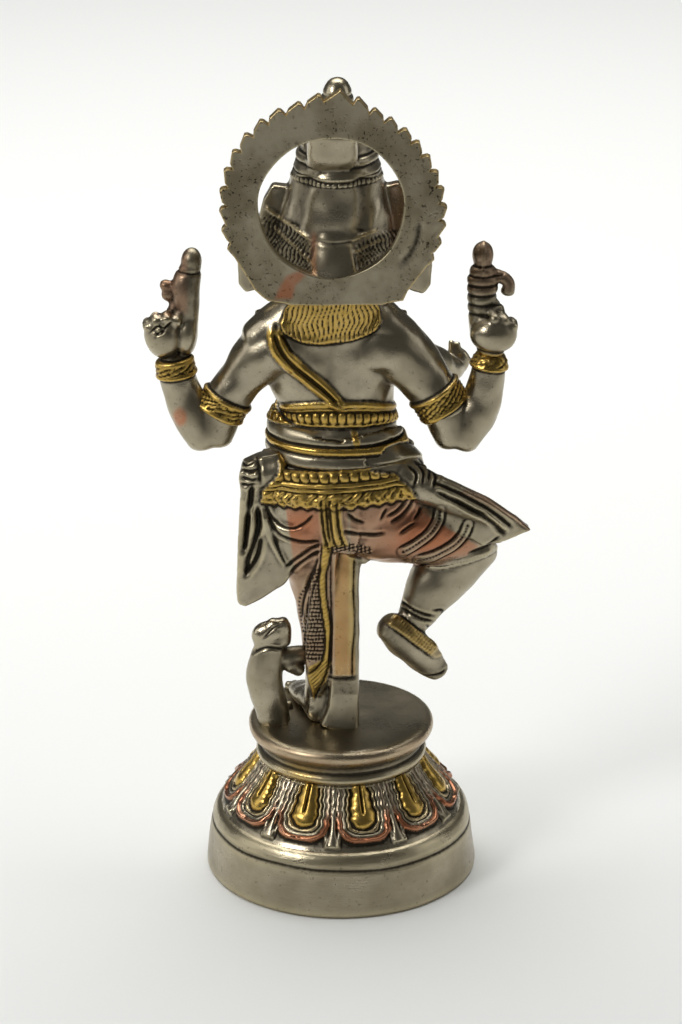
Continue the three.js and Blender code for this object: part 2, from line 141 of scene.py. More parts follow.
ANKLETS = [
    [(-16.3, 78.3), (-19.1, 75.8), (-22.5, 74.2), (-25.3, 73.6)],
    [(-16.3, 76.4), (-18.8, 74.6), (-22.2, 72.8), (-25, 72.2)],
]
ANKLE_TIE = [
    [(-17.3, 75.6), (-18.2, 73.6)],
    [(-25.2, 75.3), (-28, 75), (-26.2, 72)],
    [(-23.5, 71), (-25, 69)],
]
FOOT_BAND = [
    [(-13.2, 73.1), (-16.7, 70.6), (-20.1, 67.8), (-23.2, 65.3), (-26.2, 63)],
]
SOLE = [
    [(-11.7, 71), (-13.4, 66.9), (-16.5, 61.9), (-19.9, 58.2), (-23.6, 56.3), (-27.3, 56.8),
     (-29.1, 57.9)],
]
TOES = [
    [(-19.9, 56.8), (-23.6, 55.6), (-27.3, 56.3), (-29.1, 57.7)],
]
KERCHIEF_FOLDS = [
    [(25.1, 104), (25.7, 98.8), (26.4, 93)],
    [(22.7, 105.4), (22.4, 100.1), (23.6, 95.2), (25.2, 90.8), (25.9, 85.9)],
    [(21.7, 96.8), (22.9, 91.2), (25.2, 86.8)],
    [(24.1, 111.9), (24.4, 108.6), (24.7, 105.4)],
]
KERCHIEF_RIDGES = [
    [(26.3, 109.3), (26.6, 102.7), (27.2, 94.9), (27.6, 86.3)],
    [(23.8, 106.7), (24, 100.8), (24.8, 95.5)],
    [(20.9, 104), (19.7, 98.1), (17.5, 93.4), (15, 88.8)],
]
KERCHIEF_HEM = [
    [(28.3, 77.8), (25.3, 78), (21.1, 80.3), (15, 83.3)],
]
RIGHT_SASH_FOLDS = [
    [(-25.3, 113.2), (-32.9, 109.5), (-40.8, 104.7), (-46.3, 100)],
    [(-26.3, 110.2), (-32.9, 106.3), (-39.5, 102.4), (-44.2, 98.1)],
    [(-23.6, 118.3), (-25.6, 114.8), (-25, 111.2)],
    [(-30.3, 108.4), (-35.6, 105.2), (-39.5, 103.5)],
]
RIGHT_SASH_RIDGES = [
    [(-26, 114.8), (-32.9, 111.2), (-40.4, 107.4), (-48.1, 101.7)],
    [(-26, 111.8), (-32.9, 107.9), (-40.2, 103.5), (-44.8, 99.2)],
]
KNOT_CUTS = [
    [(27.8, 119.7), (25.3, 118.3), (22.7, 119.7)],
    [(27.6, 117.2), (24.7, 116.2), (22.1, 117.2)],
    [(26.7, 114.8), (24.1, 113.7), (22.1, 114.4)],
    [(27.2, 112.7), (24.7, 112.3), (22.8, 112.7)],
    [(22.7, 120.4), (22.1, 116.9), (21.8, 112.7)],
]
KNOT_RIGHT = [
    [(-17.8, 118.3), (-20.4, 115.5), (-19.8, 112)],
    [(-19.7, 119.7), (-22.3, 116.5), (-22, 112.7)],
    [(-20.7, 120.4), (-23.6, 117.2), (-23.7, 113.4)],
]
TAIL_RIGHT = [
    [(2.2, 94.9), (3.3, 89.6), (4, 86.3), (4.1, 81.6), (3.6, 76.3), (2.8, 71), (3, 65.6), (3.5, 58.9),
     (4.7, 54.8), (6.2, 51.4), (7.5, 48.4)],
]
TAIL_MIDDLE = [
    [(5.2, 94.9), (5.6, 89.6), (6, 85), (5.9, 80.3), (5.3, 75), (4.5, 69), (4.5, 63.6), (5.3, 60.2),
     (7.2, 57.5), (9.3, 56.2)],
]
TAIL_LEFT = [
    [(7.4, 94.9), (7.3, 88.3), (8.6, 80.3), (9.4, 75), (10.3, 68.3), (10.6, 62.2), (10, 56.2),
     (9, 52.1), (7.5, 48.4)],
]
PLEATS = [
    [(5.2, 108), (5.1, 102.7), (4.3, 96.8), (3.3, 93.9)],
    [(3.1, 108), (2.9, 102.1), (2.2, 96.8), (1.3, 94.2)],
    [(1, 108), (0.9, 102.7), (0.3, 98.1), (-0.8, 94.5)],
    [(3.9, 108), (3.9, 104), (3.5, 98.8), (2.8, 95.5)],
]
PLEAT_EDGES = [
    [(6.1, 110.6), (5.8, 102.7), (4.9, 96.2), (4.6, 93.9)],
    [(-0.1, 110.6), (-0.2, 102.7), (-0.8, 98.1), (-2.2, 94.5)],
]
CROTCH_HEM = [
    [(2.8, 93.4), (-0.8, 94.1), (-3.9, 93.9), (-7.5, 93.1)],
]
POST_EDGES = [
    [(2.7, 92.2), (2.8, 81.6), (2.6, 71), (2.9, 61.6), (2.7, 55.5)],
    [(-3.7, 90.9), (-3.4, 81.6), (-3.8, 71), (-3.1, 61.6), (-3.1, 54.8)],
]
POST_BASE = [
    [(3.5, 55.4), (1, 54.8), (-3.1, 55), (-4.6, 55.5)],
]
HEAD_FLUTES = [
    [(7.6, 200.2), (10.4, 195.2), (12, 188.9), (12.6, 184.8)],
    [(-5.1, 200.2), (-6, 194.2), (-5.9, 188.9), (-4.7, 183.5)],
]
HEAD_BANDS = [
    [(19.7, 191.1), (14.5, 187), (8.2, 182.2)],
    [(17.4, 185.5), (12.7, 180.8), (7.4, 175.6)],
    [(-9.7, 184.8), (-5.9, 183.4), (-2.6, 181.6)],
    [(-11.3, 182.3), (-6.8, 180.5), (-3.6, 178.7)],
]
HATCH_LEFT = [
    [(20.8, 188.9), (18.3, 188.9), (13.9, 186.2), (7.4, 180.5), (6.8, 173.4), (12, 172.7),
     (18.4, 178.1)],
]
HATCH_RIGHT = [
    [(-4, 180.8), (-11, 183.8), (-16.7, 185.5), (-16.7, 178.1), (-8.5, 172), (-4.7, 173.4)],
]
CROWN_BEADS = [
    [(6.2, 199.2), (4, 198.7), (0.5, 198.4), (-3.3, 198.9), (-6.2, 199.7)],
]
NAPE_LINE = [
    [(6.3, 181.6), (3.1, 180.9), (-0.8, 181.1), (-4, 181.8)],
]
RING_FURROW = [
    [(-20.5, 186.9), (-20.2, 182.8), (-18.7, 178.8), (-16.1, 175.4)],
]
RING_RUST = [
    [(14.3, 172), (10.8, 173.4), (9.5, 172), (12.1, 169.3), (13, 165.6), (17.2, 165.6), (16.6, 168)],
]
HAND_CRACKS = [
    [(50.8, 156), (48.8, 157.8), (46.9, 157.4), (44.9, 159.1)],
    [(49.5, 154.7), (47.9, 156.4), (46, 156)],
    [(48.2, 158.4), (47.3, 155.7)],
    [(50.1, 157.1), (48.2, 155.4), (46.3, 157.8)],
]


# Shapes worked out as whole arrays


def unit(vectors):
    return vectors / np.maximum(np.linalg.norm(vectors, axis=-1, keepdims=True), 1e-9)


def soft_step(value, edge):
    """0 below -edge/2 and 1 above edge/2, with a smooth S between."""
    share = np.clip(value / edge + 0.5, 0.0, 1.0)
    return share * share * (3.0 - 2.0 * share)


def between(value, low, high, edge=0.3):
    """1 between low and high, fading out over edge at both."""
    return soft_step(value - low, edge) * soft_step(high - value, edge)


def half_round(offset, radius):
    """A half circle's height over its middle line: the root of 1 - (offset / radius) squared."""
    return np.sqrt(np.clip(1.0 - (offset / radius) ** 2, 0.0, None))


def saw(value, pitch):
    """Distance to the middle of the repeat of that pitch which holds the value, signed."""
    return ((value / pitch) % 1.0 - 0.5) * pitch


def smooth_path(stations, rows):
    """Catmull-Rom curve through the stations, each coordinate a cubic that keeps its slope at them."""
    line = np.asarray(stations, float)
    last = len(line) - 1
    place = np.linspace(0, last, rows)
    index = np.clip(place.astype(int), 0, last - 1)
    f = (place - index)[:, None]
    ends = np.vstack([2 * line[0] - line[1], line, 2 * line[-1] - line[-2]])
    a, b, c, d = ends[index], ends[index + 1], ends[index + 2], ends[index + 3]
    return 0.5 * (2 * b + (c - a) * f + (2 * a - 5 * b + 4 * c - d) * f**2 + (3 * b - a - 3 * c + d) * f**3)


def grid_faces(rows, columns, start=0):
    """Faces between neighbouring rows of a grid whose last column joins its first."""
    row = np.arange(rows - 1)[:, None] * columns
    here = np.arange(columns)[None, :]
    following = (here + 1) % columns
    corners = [row + here, row + following, row + columns + following, row + columns + here]
    return start + np.stack(corners, -1).reshape(-1, 4)


def closed_tube(grid, first_pole, last_pole):
    """A grid of rings with a point at each end. A triangle repeats its last corner."""
    rows, columns, _ = grid.shape
    points = np.vstack([grid.reshape(-1, 3), first_pole, last_pole])
    here = np.arange(columns)
    following = (here + 1) % columns
    low, high = rows * columns, rows * columns + 1
    top = (rows - 1) * columns
    foot = np.stack([following, here, np.full(columns, low), np.full(columns, low)], -1)
    head = np.stack([top + here, top + following, np.full(columns, high), np.full(columns, high)], -1)
    return outward(points, np.vstack([grid_faces(rows, columns), foot, head]))


def outward(points, faces):
    """Turns all faces round if the volume they enclose comes out negative."""
    a, b, c, d = (points[faces[:, k]] for k in range(4))
    volume = (np.cross(b, c) * a).sum() + (np.cross(c, d) * a).sum()
    if volume < 0:
        turned = faces[:, ::-1].copy()
        triangle = faces[:, 2] == faces[:, 3]
        turned[triangle] = faces[triangle][:, [1, 0, 2, 3]]
        faces = turned
    return points, faces


def limb(stations, depth=BACKWARD, square=2.0, dome=0.6, around=28, along=5, cap=5):
    """A tube carried through stations (x, y, z, half width, half depth), with domed ends.

    Each section is a superellipse: cos and sin of the turn, scaled so that |x|^square + |y|^square = 1,
    times the half sizes, across and along the depth direction. The ends close as a quarter ellipse.
    """
    line = smooth_path(stations, (len(stations) - 1) * along + 1)
    centre, half = line[:, :3], np.maximum(line[:, 3:5], 0.3)
    tangent = unit(np.gradient(centre, axis=0))
    deep = unit(np.array(depth) - tangent * (tangent @ np.array(depth))[:, None])
    across = np.cross(tangent, deep)
    lift = np.linspace(0, np.pi / 2, cap + 1)[1:-1]
    last = len(line) - 1
    row = np.concatenate([np.zeros(cap - 1, int), np.arange(last + 1), np.full(cap - 1, last)])
    reach = np.concatenate([np.sin(lift), np.ones(last + 1), np.sin(lift[::-1])])
    push = np.concatenate([-np.cos(lift), np.zeros(last + 1), np.cos(lift[::-1])])
    rise = dome * half.min(axis=1)
    turn = np.linspace(0, 2 * np.pi, around, endpoint=False)
    cos, sin = np.cos(turn), np.sin(turn)
    swell = (np.abs(cos) ** square + np.abs(sin) ** square) ** (-1.0 / square)
    middle = centre[row] + tangent[row] * (push * rise[row])[:, None]
    wide = (across[row] * (reach * half[row, 0])[:, None])[:, None, :] * (cos * swell)[None, :, None]
    thick = (deep[row] * (reach * half[row, 1])[:, None])[:, None, :] * (sin * swell)[None, :, None]
    poles = centre[0] - tangent[0] * rise[0], centre[-1] + tangent[-1] * rise[-1]
    return closed_tube(middle[:, None, :] + wide + thick, *poles)


def blob(centre, radii, lean=0.0, around=28, rows=16):
    """An ellipsoid: a sphere scaled by its radii, then turned about Y by lean degrees."""
    lift = np.linspace(-np.pi / 2, np.pi / 2, rows + 1)[1:-1, None]
    turn = np.linspace(0, 2 * np.pi, around, endpoint=False)[None, :]
    sphere = np.stack([np.cos(lift) * np.cos(turn), np.cos(lift) * np.sin(turn), np.sin(lift) + 0 * turn], -1)
    angle = np.radians(lean)
    spin = np.array([[np.cos(angle), 0, np.sin(angle)], [0, 1, 0], [-np.sin(angle), 0, np.cos(angle)]])
    frame_of = np.diag(radii) @ spin.T
    grid = sphere @ frame_of + np.array(centre)
    pole = np.array([0.0, 0.0, 1.0]) @ frame_of
    return closed_tube(grid, np.array(centre) - pole, np.array(centre) + pole)


def turned(profile, axis_at=(0.0, 0.0), around=64):
    """A solid of revolution: each (radius, height) of the profile goes once round the upright axis."""
    radius, height = np.asarray(profile, float).T
    turn = np.linspace(0, 2 * np.pi, around, endpoint=False)[None, :]
    x = axis_at[0] + radius[:, None] * np.cos(turn)
    y = axis_at[1] + radius[:, None] * np.sin(turn)
    grid = np.stack([x, y, height[:, None] + 0 * turn], -1)[1:-1]
    ends = [(*axis_at, height[0]), (*axis_at, height[-1])]
    return closed_tube(grid, *ends)


def leaf(outline, back, thickness, bow=0.0, rings=14):
    """A flat plate: its outline in X and Z shrinks in rings to a middle point, at the back and in front.

    The back stands bow millimetres proud in the middle, as the cosine of the ring's share of the way out.
    """
    edge = smooth_closed(outline, 160)
    middle = edge.mean(axis=0)
    share = np.sin(np.linspace(0, np.pi / 2, rings + 1)[1:])
    scale = np.concatenate([share, share[::-1]])
    bulge = bow * np.cos(scale * np.pi / 2)
    depth = np.concatenate([back + bulge[:rings], back - thickness - bulge[rings:] * 0.5])
    xz = middle + (edge - middle)[None, :, :] * scale[:, None, None]
    grid = np.stack([xz[..., 0], depth[:, None] + 0 * xz[..., 0], xz[..., 1]], -1)
    poles = (middle[0], back + bow, middle[1]), (middle[0], back - thickness - bow * 0.5, middle[1])
    return closed_tube(grid, *poles)


def smooth_closed(outline, count):
    """Evenly spaced points on the closed polygon through the outline's corners."""
    ring = np.vstack([outline, outline[:1]]).astype(float)
    travelled = np.concatenate([[0], np.cumsum(np.linalg.norm(np.diff(ring, axis=0), axis=1))])
    place = np.linspace(0, travelled[-1], count, endpoint=False)
    return np.stack([np.interp(place, travelled, ring[:, k]) for k in (0, 1)], -1)


# The casting as one skin


def fuse(shells, grain):
    """Joins overlapping closed shells into one skin of even four-sided faces, grain millimetres wide."""
    points = np.vstack([shell[0] for shell in shells])
    starts = np.cumsum([0] + [len(shell[0]) for shell in shells[:-1]])
    faces = np.vstack([shell[1] + start for shell, start in zip(shells, starts)])
    mesh = mesh_of("moulding", points, faces)
    body = bpy.data.objects.new("moulding", mesh)
    bpy.context.collection.objects.link(body)
    remesh = body.modifiers.new("Fuse", "REMESH")
    remesh.mode = "VOXEL"
    remesh.voxel_size = grain
    shaped = body.evaluated_get(bpy.context.evaluated_depsgraph_get())
    skin = shaped.to_mesh()
    points = np.empty(len(skin.vertices) * 3)
    skin.vertices.foreach_get("co", points)
    corners = np.empty(len(skin.loops), int)
    skin.loops.foreach_get("vertex_index", corners)
    sizes = np.empty(len(skin.polygons), int)
    skin.polygons.foreach_get("loop_total", sizes)
    starts = np.concatenate([[0], np.cumsum(sizes)[:-1]])
    pick = starts[:, None] + np.minimum(np.arange(4)[None, :], sizes[:, None] - 1)
    faces = corners[pick]
    shaped.to_mesh_clear()
    bpy.data.objects.remove(body)
    bpy.data.meshes.remove(mesh)
    return points.reshape(-1, 3), faces


def mesh_of(name, points, faces):
    """A mesh of the points and faces, where a face that repeats its last corner is a triangle."""
    mesh = bpy.data.meshes.new(name)
    sizes = np.where(faces[:, 2] == faces[:, 3], 3, 4)
    corners = faces[np.arange(4)[None, :] < sizes[:, None]]
    mesh.vertices.add(len(points))
    mesh.vertices.foreach_set("co", np.ascontiguousarray(points, np.float32).ravel())
    mesh.loops.add(len(corners))
    mesh.loops.foreach_set("vertex_index", corners.astype(np.int32))
    mesh.polygons.add(len(faces))
    starts = np.concatenate([[0], np.cumsum(sizes)[:-1]])
    mesh.polygons.foreach_set("loop_start", starts.astype(np.int32))
    mesh.polygons.foreach_set("use_smooth", np.ones(len(faces), bool))
    mesh.update(calc_edges=True)
    mesh.validate()
    return mesh


def normals_of(points, faces):
    """The mean direction of the faces round each point, a face's being the cross of its diagonals."""
    across = points[faces[:, 2]] - points[faces[:, 0]]
    along = points[faces[:, 3]] - points[faces[:, 1]]
    facing = np.cross(across, along)
    corner = faces.ravel()
    total = [np.bincount(corner, np.repeat(facing[:, k], 4), len(points)) for k in range(3)]
    return unit(np.stack(total, -1))


def mean_of_neighbours(points, faces):
    """Moves every point to the mean of the points that it shares an edge with."""
    one = faces[:, [0, 1, 2, 3]].ravel()
    other = faces[:, [1, 2, 3, 0]].ravel()
    start, end = np.concatenate([one, other]), np.concatenate([other, one])
    count = np.bincount(start, minlength=len(points))[:, None]
    total = [np.bincount(start, points[end, k], len(points)) for k in range(3)]
    return np.stack(total, -1) / count


def relaxed(points, faces, passes):
    """Halfway to the neighbours' mean, passes times: edges and joins soften as poured metal does."""
    for _ in range(passes):
        points = 0.5 * (points + mean_of_neighbours(points, faces))
    return points


def hollows_of(points, faces):
    """How deep each point lies under the skin round it, in mm: close by, and over a wider patch."""
    normal = normals_of(points, faces)
    soft = points
    for step in range(14):
        soft = mean_of_neighbours(soft, faces)
        if step == 2:
            near = ((soft - points) * normal).sum(axis=1)
    return near, ((soft - points) * normal).sum(axis=1)


def seen(points):
    """Where the sight line to each point crosses the plane Y = 0, as X and Z."""
    reach = EYE[1] / (EYE[1] - points[:, 1])
    return EYE[0] + (points[:, 0] - EYE[0]) * reach, EYE[2] + (points[:, 2] - EYE[2]) * reach


def round_body(points):
    """The turn round the trunk (0 at the back, plus to the figure's left), arc length and nearness.

    Nearness is 1 on the section's ellipse, by interpolating the sections between their heights.
    """
    x, y, wide, deep = (np.interp(points[:, 2], TORSO[:, 2], TORSO[:, k]) for k in (0, 1, 3, 4))
    u, v = (points[:, 0] - x) / wide, (points[:, 1] - y) / deep
    turn = np.arctan2(u, v)
    return turn, turn * (wide + deep) / 2, np.hypot(u, v)


class Chasing:
    """The chaser's work on one skin: how far each point rises, its brass and copper, and its darkening, which is patina
    in recesses and painted shade in marked places.
    """

    def __init__(self, points, faces):
        self.points, self.faces = points, faces
        self.normals = normals_of(points, faces)
        self.rise = np.zeros(len(points))
        self.brass = np.zeros(len(points))
        self.copper = np.zeros(len(points))
        # Darkening towards the patina colour: real patina in recesses and grooves, and painted shade where some marks
        # put it.
        self.dirt_and_shade = np.zeros(len(points))
        self.x, self.z = seen(points)
        self.facing = np.clip((self.normals * unit(EYE - points)).sum(axis=1) * 4.0, 0.0, 1.0)

    def distance(self, line):
        """Distance in the picture plane to a smooth line through the points, far ones left at 99."""
        path = smooth_path(line, (len(line) - 1) * 4 + 1) if len(line) > 2 else np.array(line, float)
        low, high = path.min(axis=0) - 4.0, path.max(axis=0) + 4.0
        near = np.flatnonzero((self.x > low[0]) & (self.x < high[0]) & (self.z > low[1]) & (self.z < high[1]))
        best = np.full(len(near), 99.0)
        travelled = np.zeros(len(near))
        run = 0.0
        x, z = self.x[near], self.z[near]
        for (ax, az), (bx, bz) in zip(path[:-1], path[1:]):
            length = max(np.hypot(bx - ax, bz - az), 1e-6)
            share = np.clip(((x - ax) * (bx - ax) + (z - az) * (bz - az)) / length**2, 0.0, 1.0)
            off = np.hypot(x - ax - share * (bx - ax), z - az - share * (bz - az))
            closer = off < best
            best[closer] = off[closer]
            travelled[closer] = run + share[closer] * length
            run += length
        full, along = np.full(len(self.x), 99.0), np.zeros(len(self.x))
        full[near], along[near] = best, travelled
        taper = np.clip(np.minimum(along, run - along) / 2.0 + 0.35, 0.0, 1.0)
        return full, along, taper

    def inside(self, outline, edge=0.6):
        """1 inside a polygon in the picture plane, fading to 0 over edge millimetres at its border."""
        ring = np.vstack([outline, outline[:1]]).astype(float)
        crossed = np.zeros(len(self.x), bool)
        best = np.full(len(self.x), 99.0)
        for (ax, az), (bx, bz) in zip(ring[:-1], ring[1:]):
            spans = (az > self.z) != (bz > self.z)
            rise = bz - az if abs(bz - az) > 1e-9 else 1e-9
            crossed ^= spans & (self.x < ax + (self.z - az) * (bx - ax) / rise)
            length = max((bx - ax) ** 2 + (bz - az) ** 2, 1e-9)
            share = np.clip(((self.x - ax) * (bx - ax) + (self.z - az) * (bz - az)) / length, 0.0, 1.0)
            best = np.minimum(best, np.hypot(self.x - ax - share * (bx - ax), self.z - az - share * (bz - az)))
        return soft_step(np.where(crossed, best, -best), edge) * self.facing

    def cut(self, lines, width=0.45, depth=0.5, dirt_and_shade=0.9, where=1.0):
        """A graver's groove along each line: a bell curve width wide, with its burr thrown up beside it."""
        for line in lines:
            off, _, taper = self.distance(line)
            groove = np.exp(-((off / width) ** 2)) * taper * self.facing * where
            burr = np.exp(-(((off - 2.0 * width) / width) ** 2)) * taper * self.facing * where
            self.rise += depth * (0.2 * burr - groove)
            self.dirt_and_shade = np.maximum(self.dirt_and_shade, dirt_and_shade * groove)

    def cord(self, lines, radius=0.8, height=0.7, brass=0.0, twist=0.0, where=1.0):
        """A raised roll along each line, half round, notched every twist millimetres if twist is given."""
        for line in lines:
            off, along, taper = self.distance(line)
            roll = half_round(off, radius) * taper * self.facing * where
            if twist:
                roll = roll * (0.6 + 0.4 * half_round(saw(along, twist), twist * 0.5))
            self.rise += height * roll
            if brass:
                self.brass = np.maximum(self.brass, brass * soft_step(roll - 0.3, 0.4))

    def dots(self, lines, pitch=1.0, radius=0.34, depth=0.3):
        """A punch struck every pitch millimetres along each line."""
        for line in lines:
            off, along, _ = self.distance(line)
            struck = np.exp(-((np.hypot(off, saw(along, pitch)) / radius) ** 2)) * self.facing
            self.rise -= depth * struck
            self.dirt_and_shade = np.maximum(self.dirt_and_shade, 0.9 * struck)

    def round_axis(self, start, end):
        """Distance along the axis from start to end, arc length round it, distance off it, how squarely faced."""
        start, end = np.array(start, float), np.array(end, float)
        axis = unit(end - start)
        away = self.points - start
        along = away @ axis
        off = away - along[:, None] * axis
        radius = np.linalg.norm(off, axis=1)
        side = unit(np.cross(axis, np.array([0.12, 0.98, 0.15])))
        turn = np.arctan2(off @ side, off @ np.cross(axis, side))
        square_on = np.clip((self.normals * unit(off)).sum(axis=1) * 2.0, 0.0, 1.0)
        return along, turn * radius, radius, square_on

    def carved_band(self, start, end, reach, rise=0.7, bead=1.5):
        """A raised band round a limb: a roll at each edge and a lumpy leaf pattern between, all in brass."""
        along, arc, radius, square_on = self.round_axis(start, end)
        length = float(np.linalg.norm(np.array(end, float) - np.array(start, float)))
        on = between(along, 0.0, length, 0.5) * (radius < reach) * square_on
        rolls = half_round(along - 0.55, 0.55) + half_round(along - length + 0.55, 0.55)
        carved = between(along, 1.2, length - 1.2, 0.3)
        leafy = np.abs(np.sin(arc * np.pi / bead + 1.4 * np.sin(along * 2.1))) * np.cos(along * 2.6 + arc) ** 2
        self.rise += on * (rise + 0.3 * rolls + carved * (0.45 * leafy - 0.25))
        self.brass = np.maximum(self.brass, on)
        self.dirt_and_shade = np.maximum(self.dirt_and_shade, on * carved * 0.75 * (1 - leafy) ** 3)
        edge_line = np.exp(-((along + 0.25) / 0.3) ** 2) + np.exp(-((along - length - 0.25) / 0.3) ** 2)
        self.dirt_and_shade = np.maximum(self.dirt_and_shade, 0.8 * edge_line * (radius < reach) * square_on)

    def hand_finish(self, amount=0.06):
        """Slow waves of a few millimetres, as files and wheels leave on metal finished by hand."""
        x, y, z = self.points.T
        wave = np.sin(0.9 * x + 1.7 * np.sin(0.31 * z)) + np.sin(0.8 * z + 1.3 * np.sin(0.37 * x + 0.5 * y))
        self.rise += amount * (wave + np.sin(1.1 * y + 0.7 * z)) / 3.0 * 2.0

    def done(self):
        """The skin after the work, every point moved along its own normal."""
        return self.points + self.normals * self.rise[:, None], self.faces




# Finishes


def linear(code):
    """An sRGB hex colour as linear red, green and blue."""
    shown = np.array([int(code[k:k + 2], 16) for k in (1, 3, 5)]) / 255.0
    return tuple(np.where(shown <= 0.04045, shown / 12.92, ((shown + 0.055) / 1.055) ** 2.4)) + (1.0,)


def colour_field(name, description, code):
    return FloatVectorProperty(
        name=name, description=description, subtype="COLOR", size=4, min=0.0, max=1.0, default=linear(code)
    )


class GaneshMetals(bpy.types.PropertyGroup):
    plate: colour_field("Silver plate", "Nickel silver left on the skin of the casting", "#ABA18C")
    tarnish: colour_field("Tarnish", "Olive grey film over the plate", "#857B65")
    brass: colour_field("Brass", "Bare yellow brass on belts, bands and petals", "#C4A253")
    copper: colour_field("Copper wash", "Copper colour on the draped cloth and petal lips", "#B0704F")
    # This brown black colour paints the patina in the recesses and also painted shade.
    patina_and_shade: colour_field("Patina", "Brown black dirt left in the recesses", "#1D1912")
    ground: colour_field("Floor", "Pale paper that the figure stands on", "#ECEDEA")


class GaneshSizes(bpy.types.PropertyGroup):
    grain: FloatProperty(
        name="Skin grain", description="Width of the faces of the fused skin", subtype="DISTANCE", unit="LENGTH",
        default=0.00036, min=0.0002, max=0.002, precision=5,
    )
    base_radius: FloatProperty(
        name="Base radius", description="Radius of the pedestal's foot", subtype="DISTANCE", unit="LENGTH",
        default=BASE_RADIUS * MM, min=0.02, max=0.08, precision=4,
    )
    petals: IntProperty(name="Petals", description="Lotus petals round the bell", default=PETALS, min=5, max=24)


def add(tree, kind, settings=(), **sockets):
    """Adds one node, with its settings, and gives each named socket a value or a link."""
    node = tree.nodes.new(kind)
    for key, value in dict(settings).items():
        setattr(node, key, value)
    for key, value in sockets.items():
        name = key.replace("_", " ")
        socket = node.inputs[int(key[1:])] if key[0] == "i" and key[1:].isdigit() else node.inputs[name]
        if isinstance(value, bpy.types.NodeSocket):
            tree.links.new(value, socket)
        else:
            socket.default_value = value
    return node


def mixed(tree, share, one, other, blend="MIX"):
    """Colour one going to colour other as share goes from 0 to 1."""
    node = add(tree, "ShaderNodeMix", {"data_type": "RGBA", "blend_type": blend}, i0=share, i6=one, i7=other)
    return node.outputs[2]


def reckon(tree, operation, one, other=0.0, clamp=False):
    settings = {"operation": operation, "use_clamp": clamp}
    return add(tree, "ShaderNodeMath", settings, i0=one, i1=other).outputs[0]


def ranged(tree, value, low, high, out_low=0.0, out_high=1.0):
    """The value's place between low and high, stretched to the other range and held inside it."""
    node = add(tree, "ShaderNodeMapRange", {"clamp": True}, i0=value, i1=low, i2=high, i3=out_low, i4=out_high)
    return node.outputs[0]


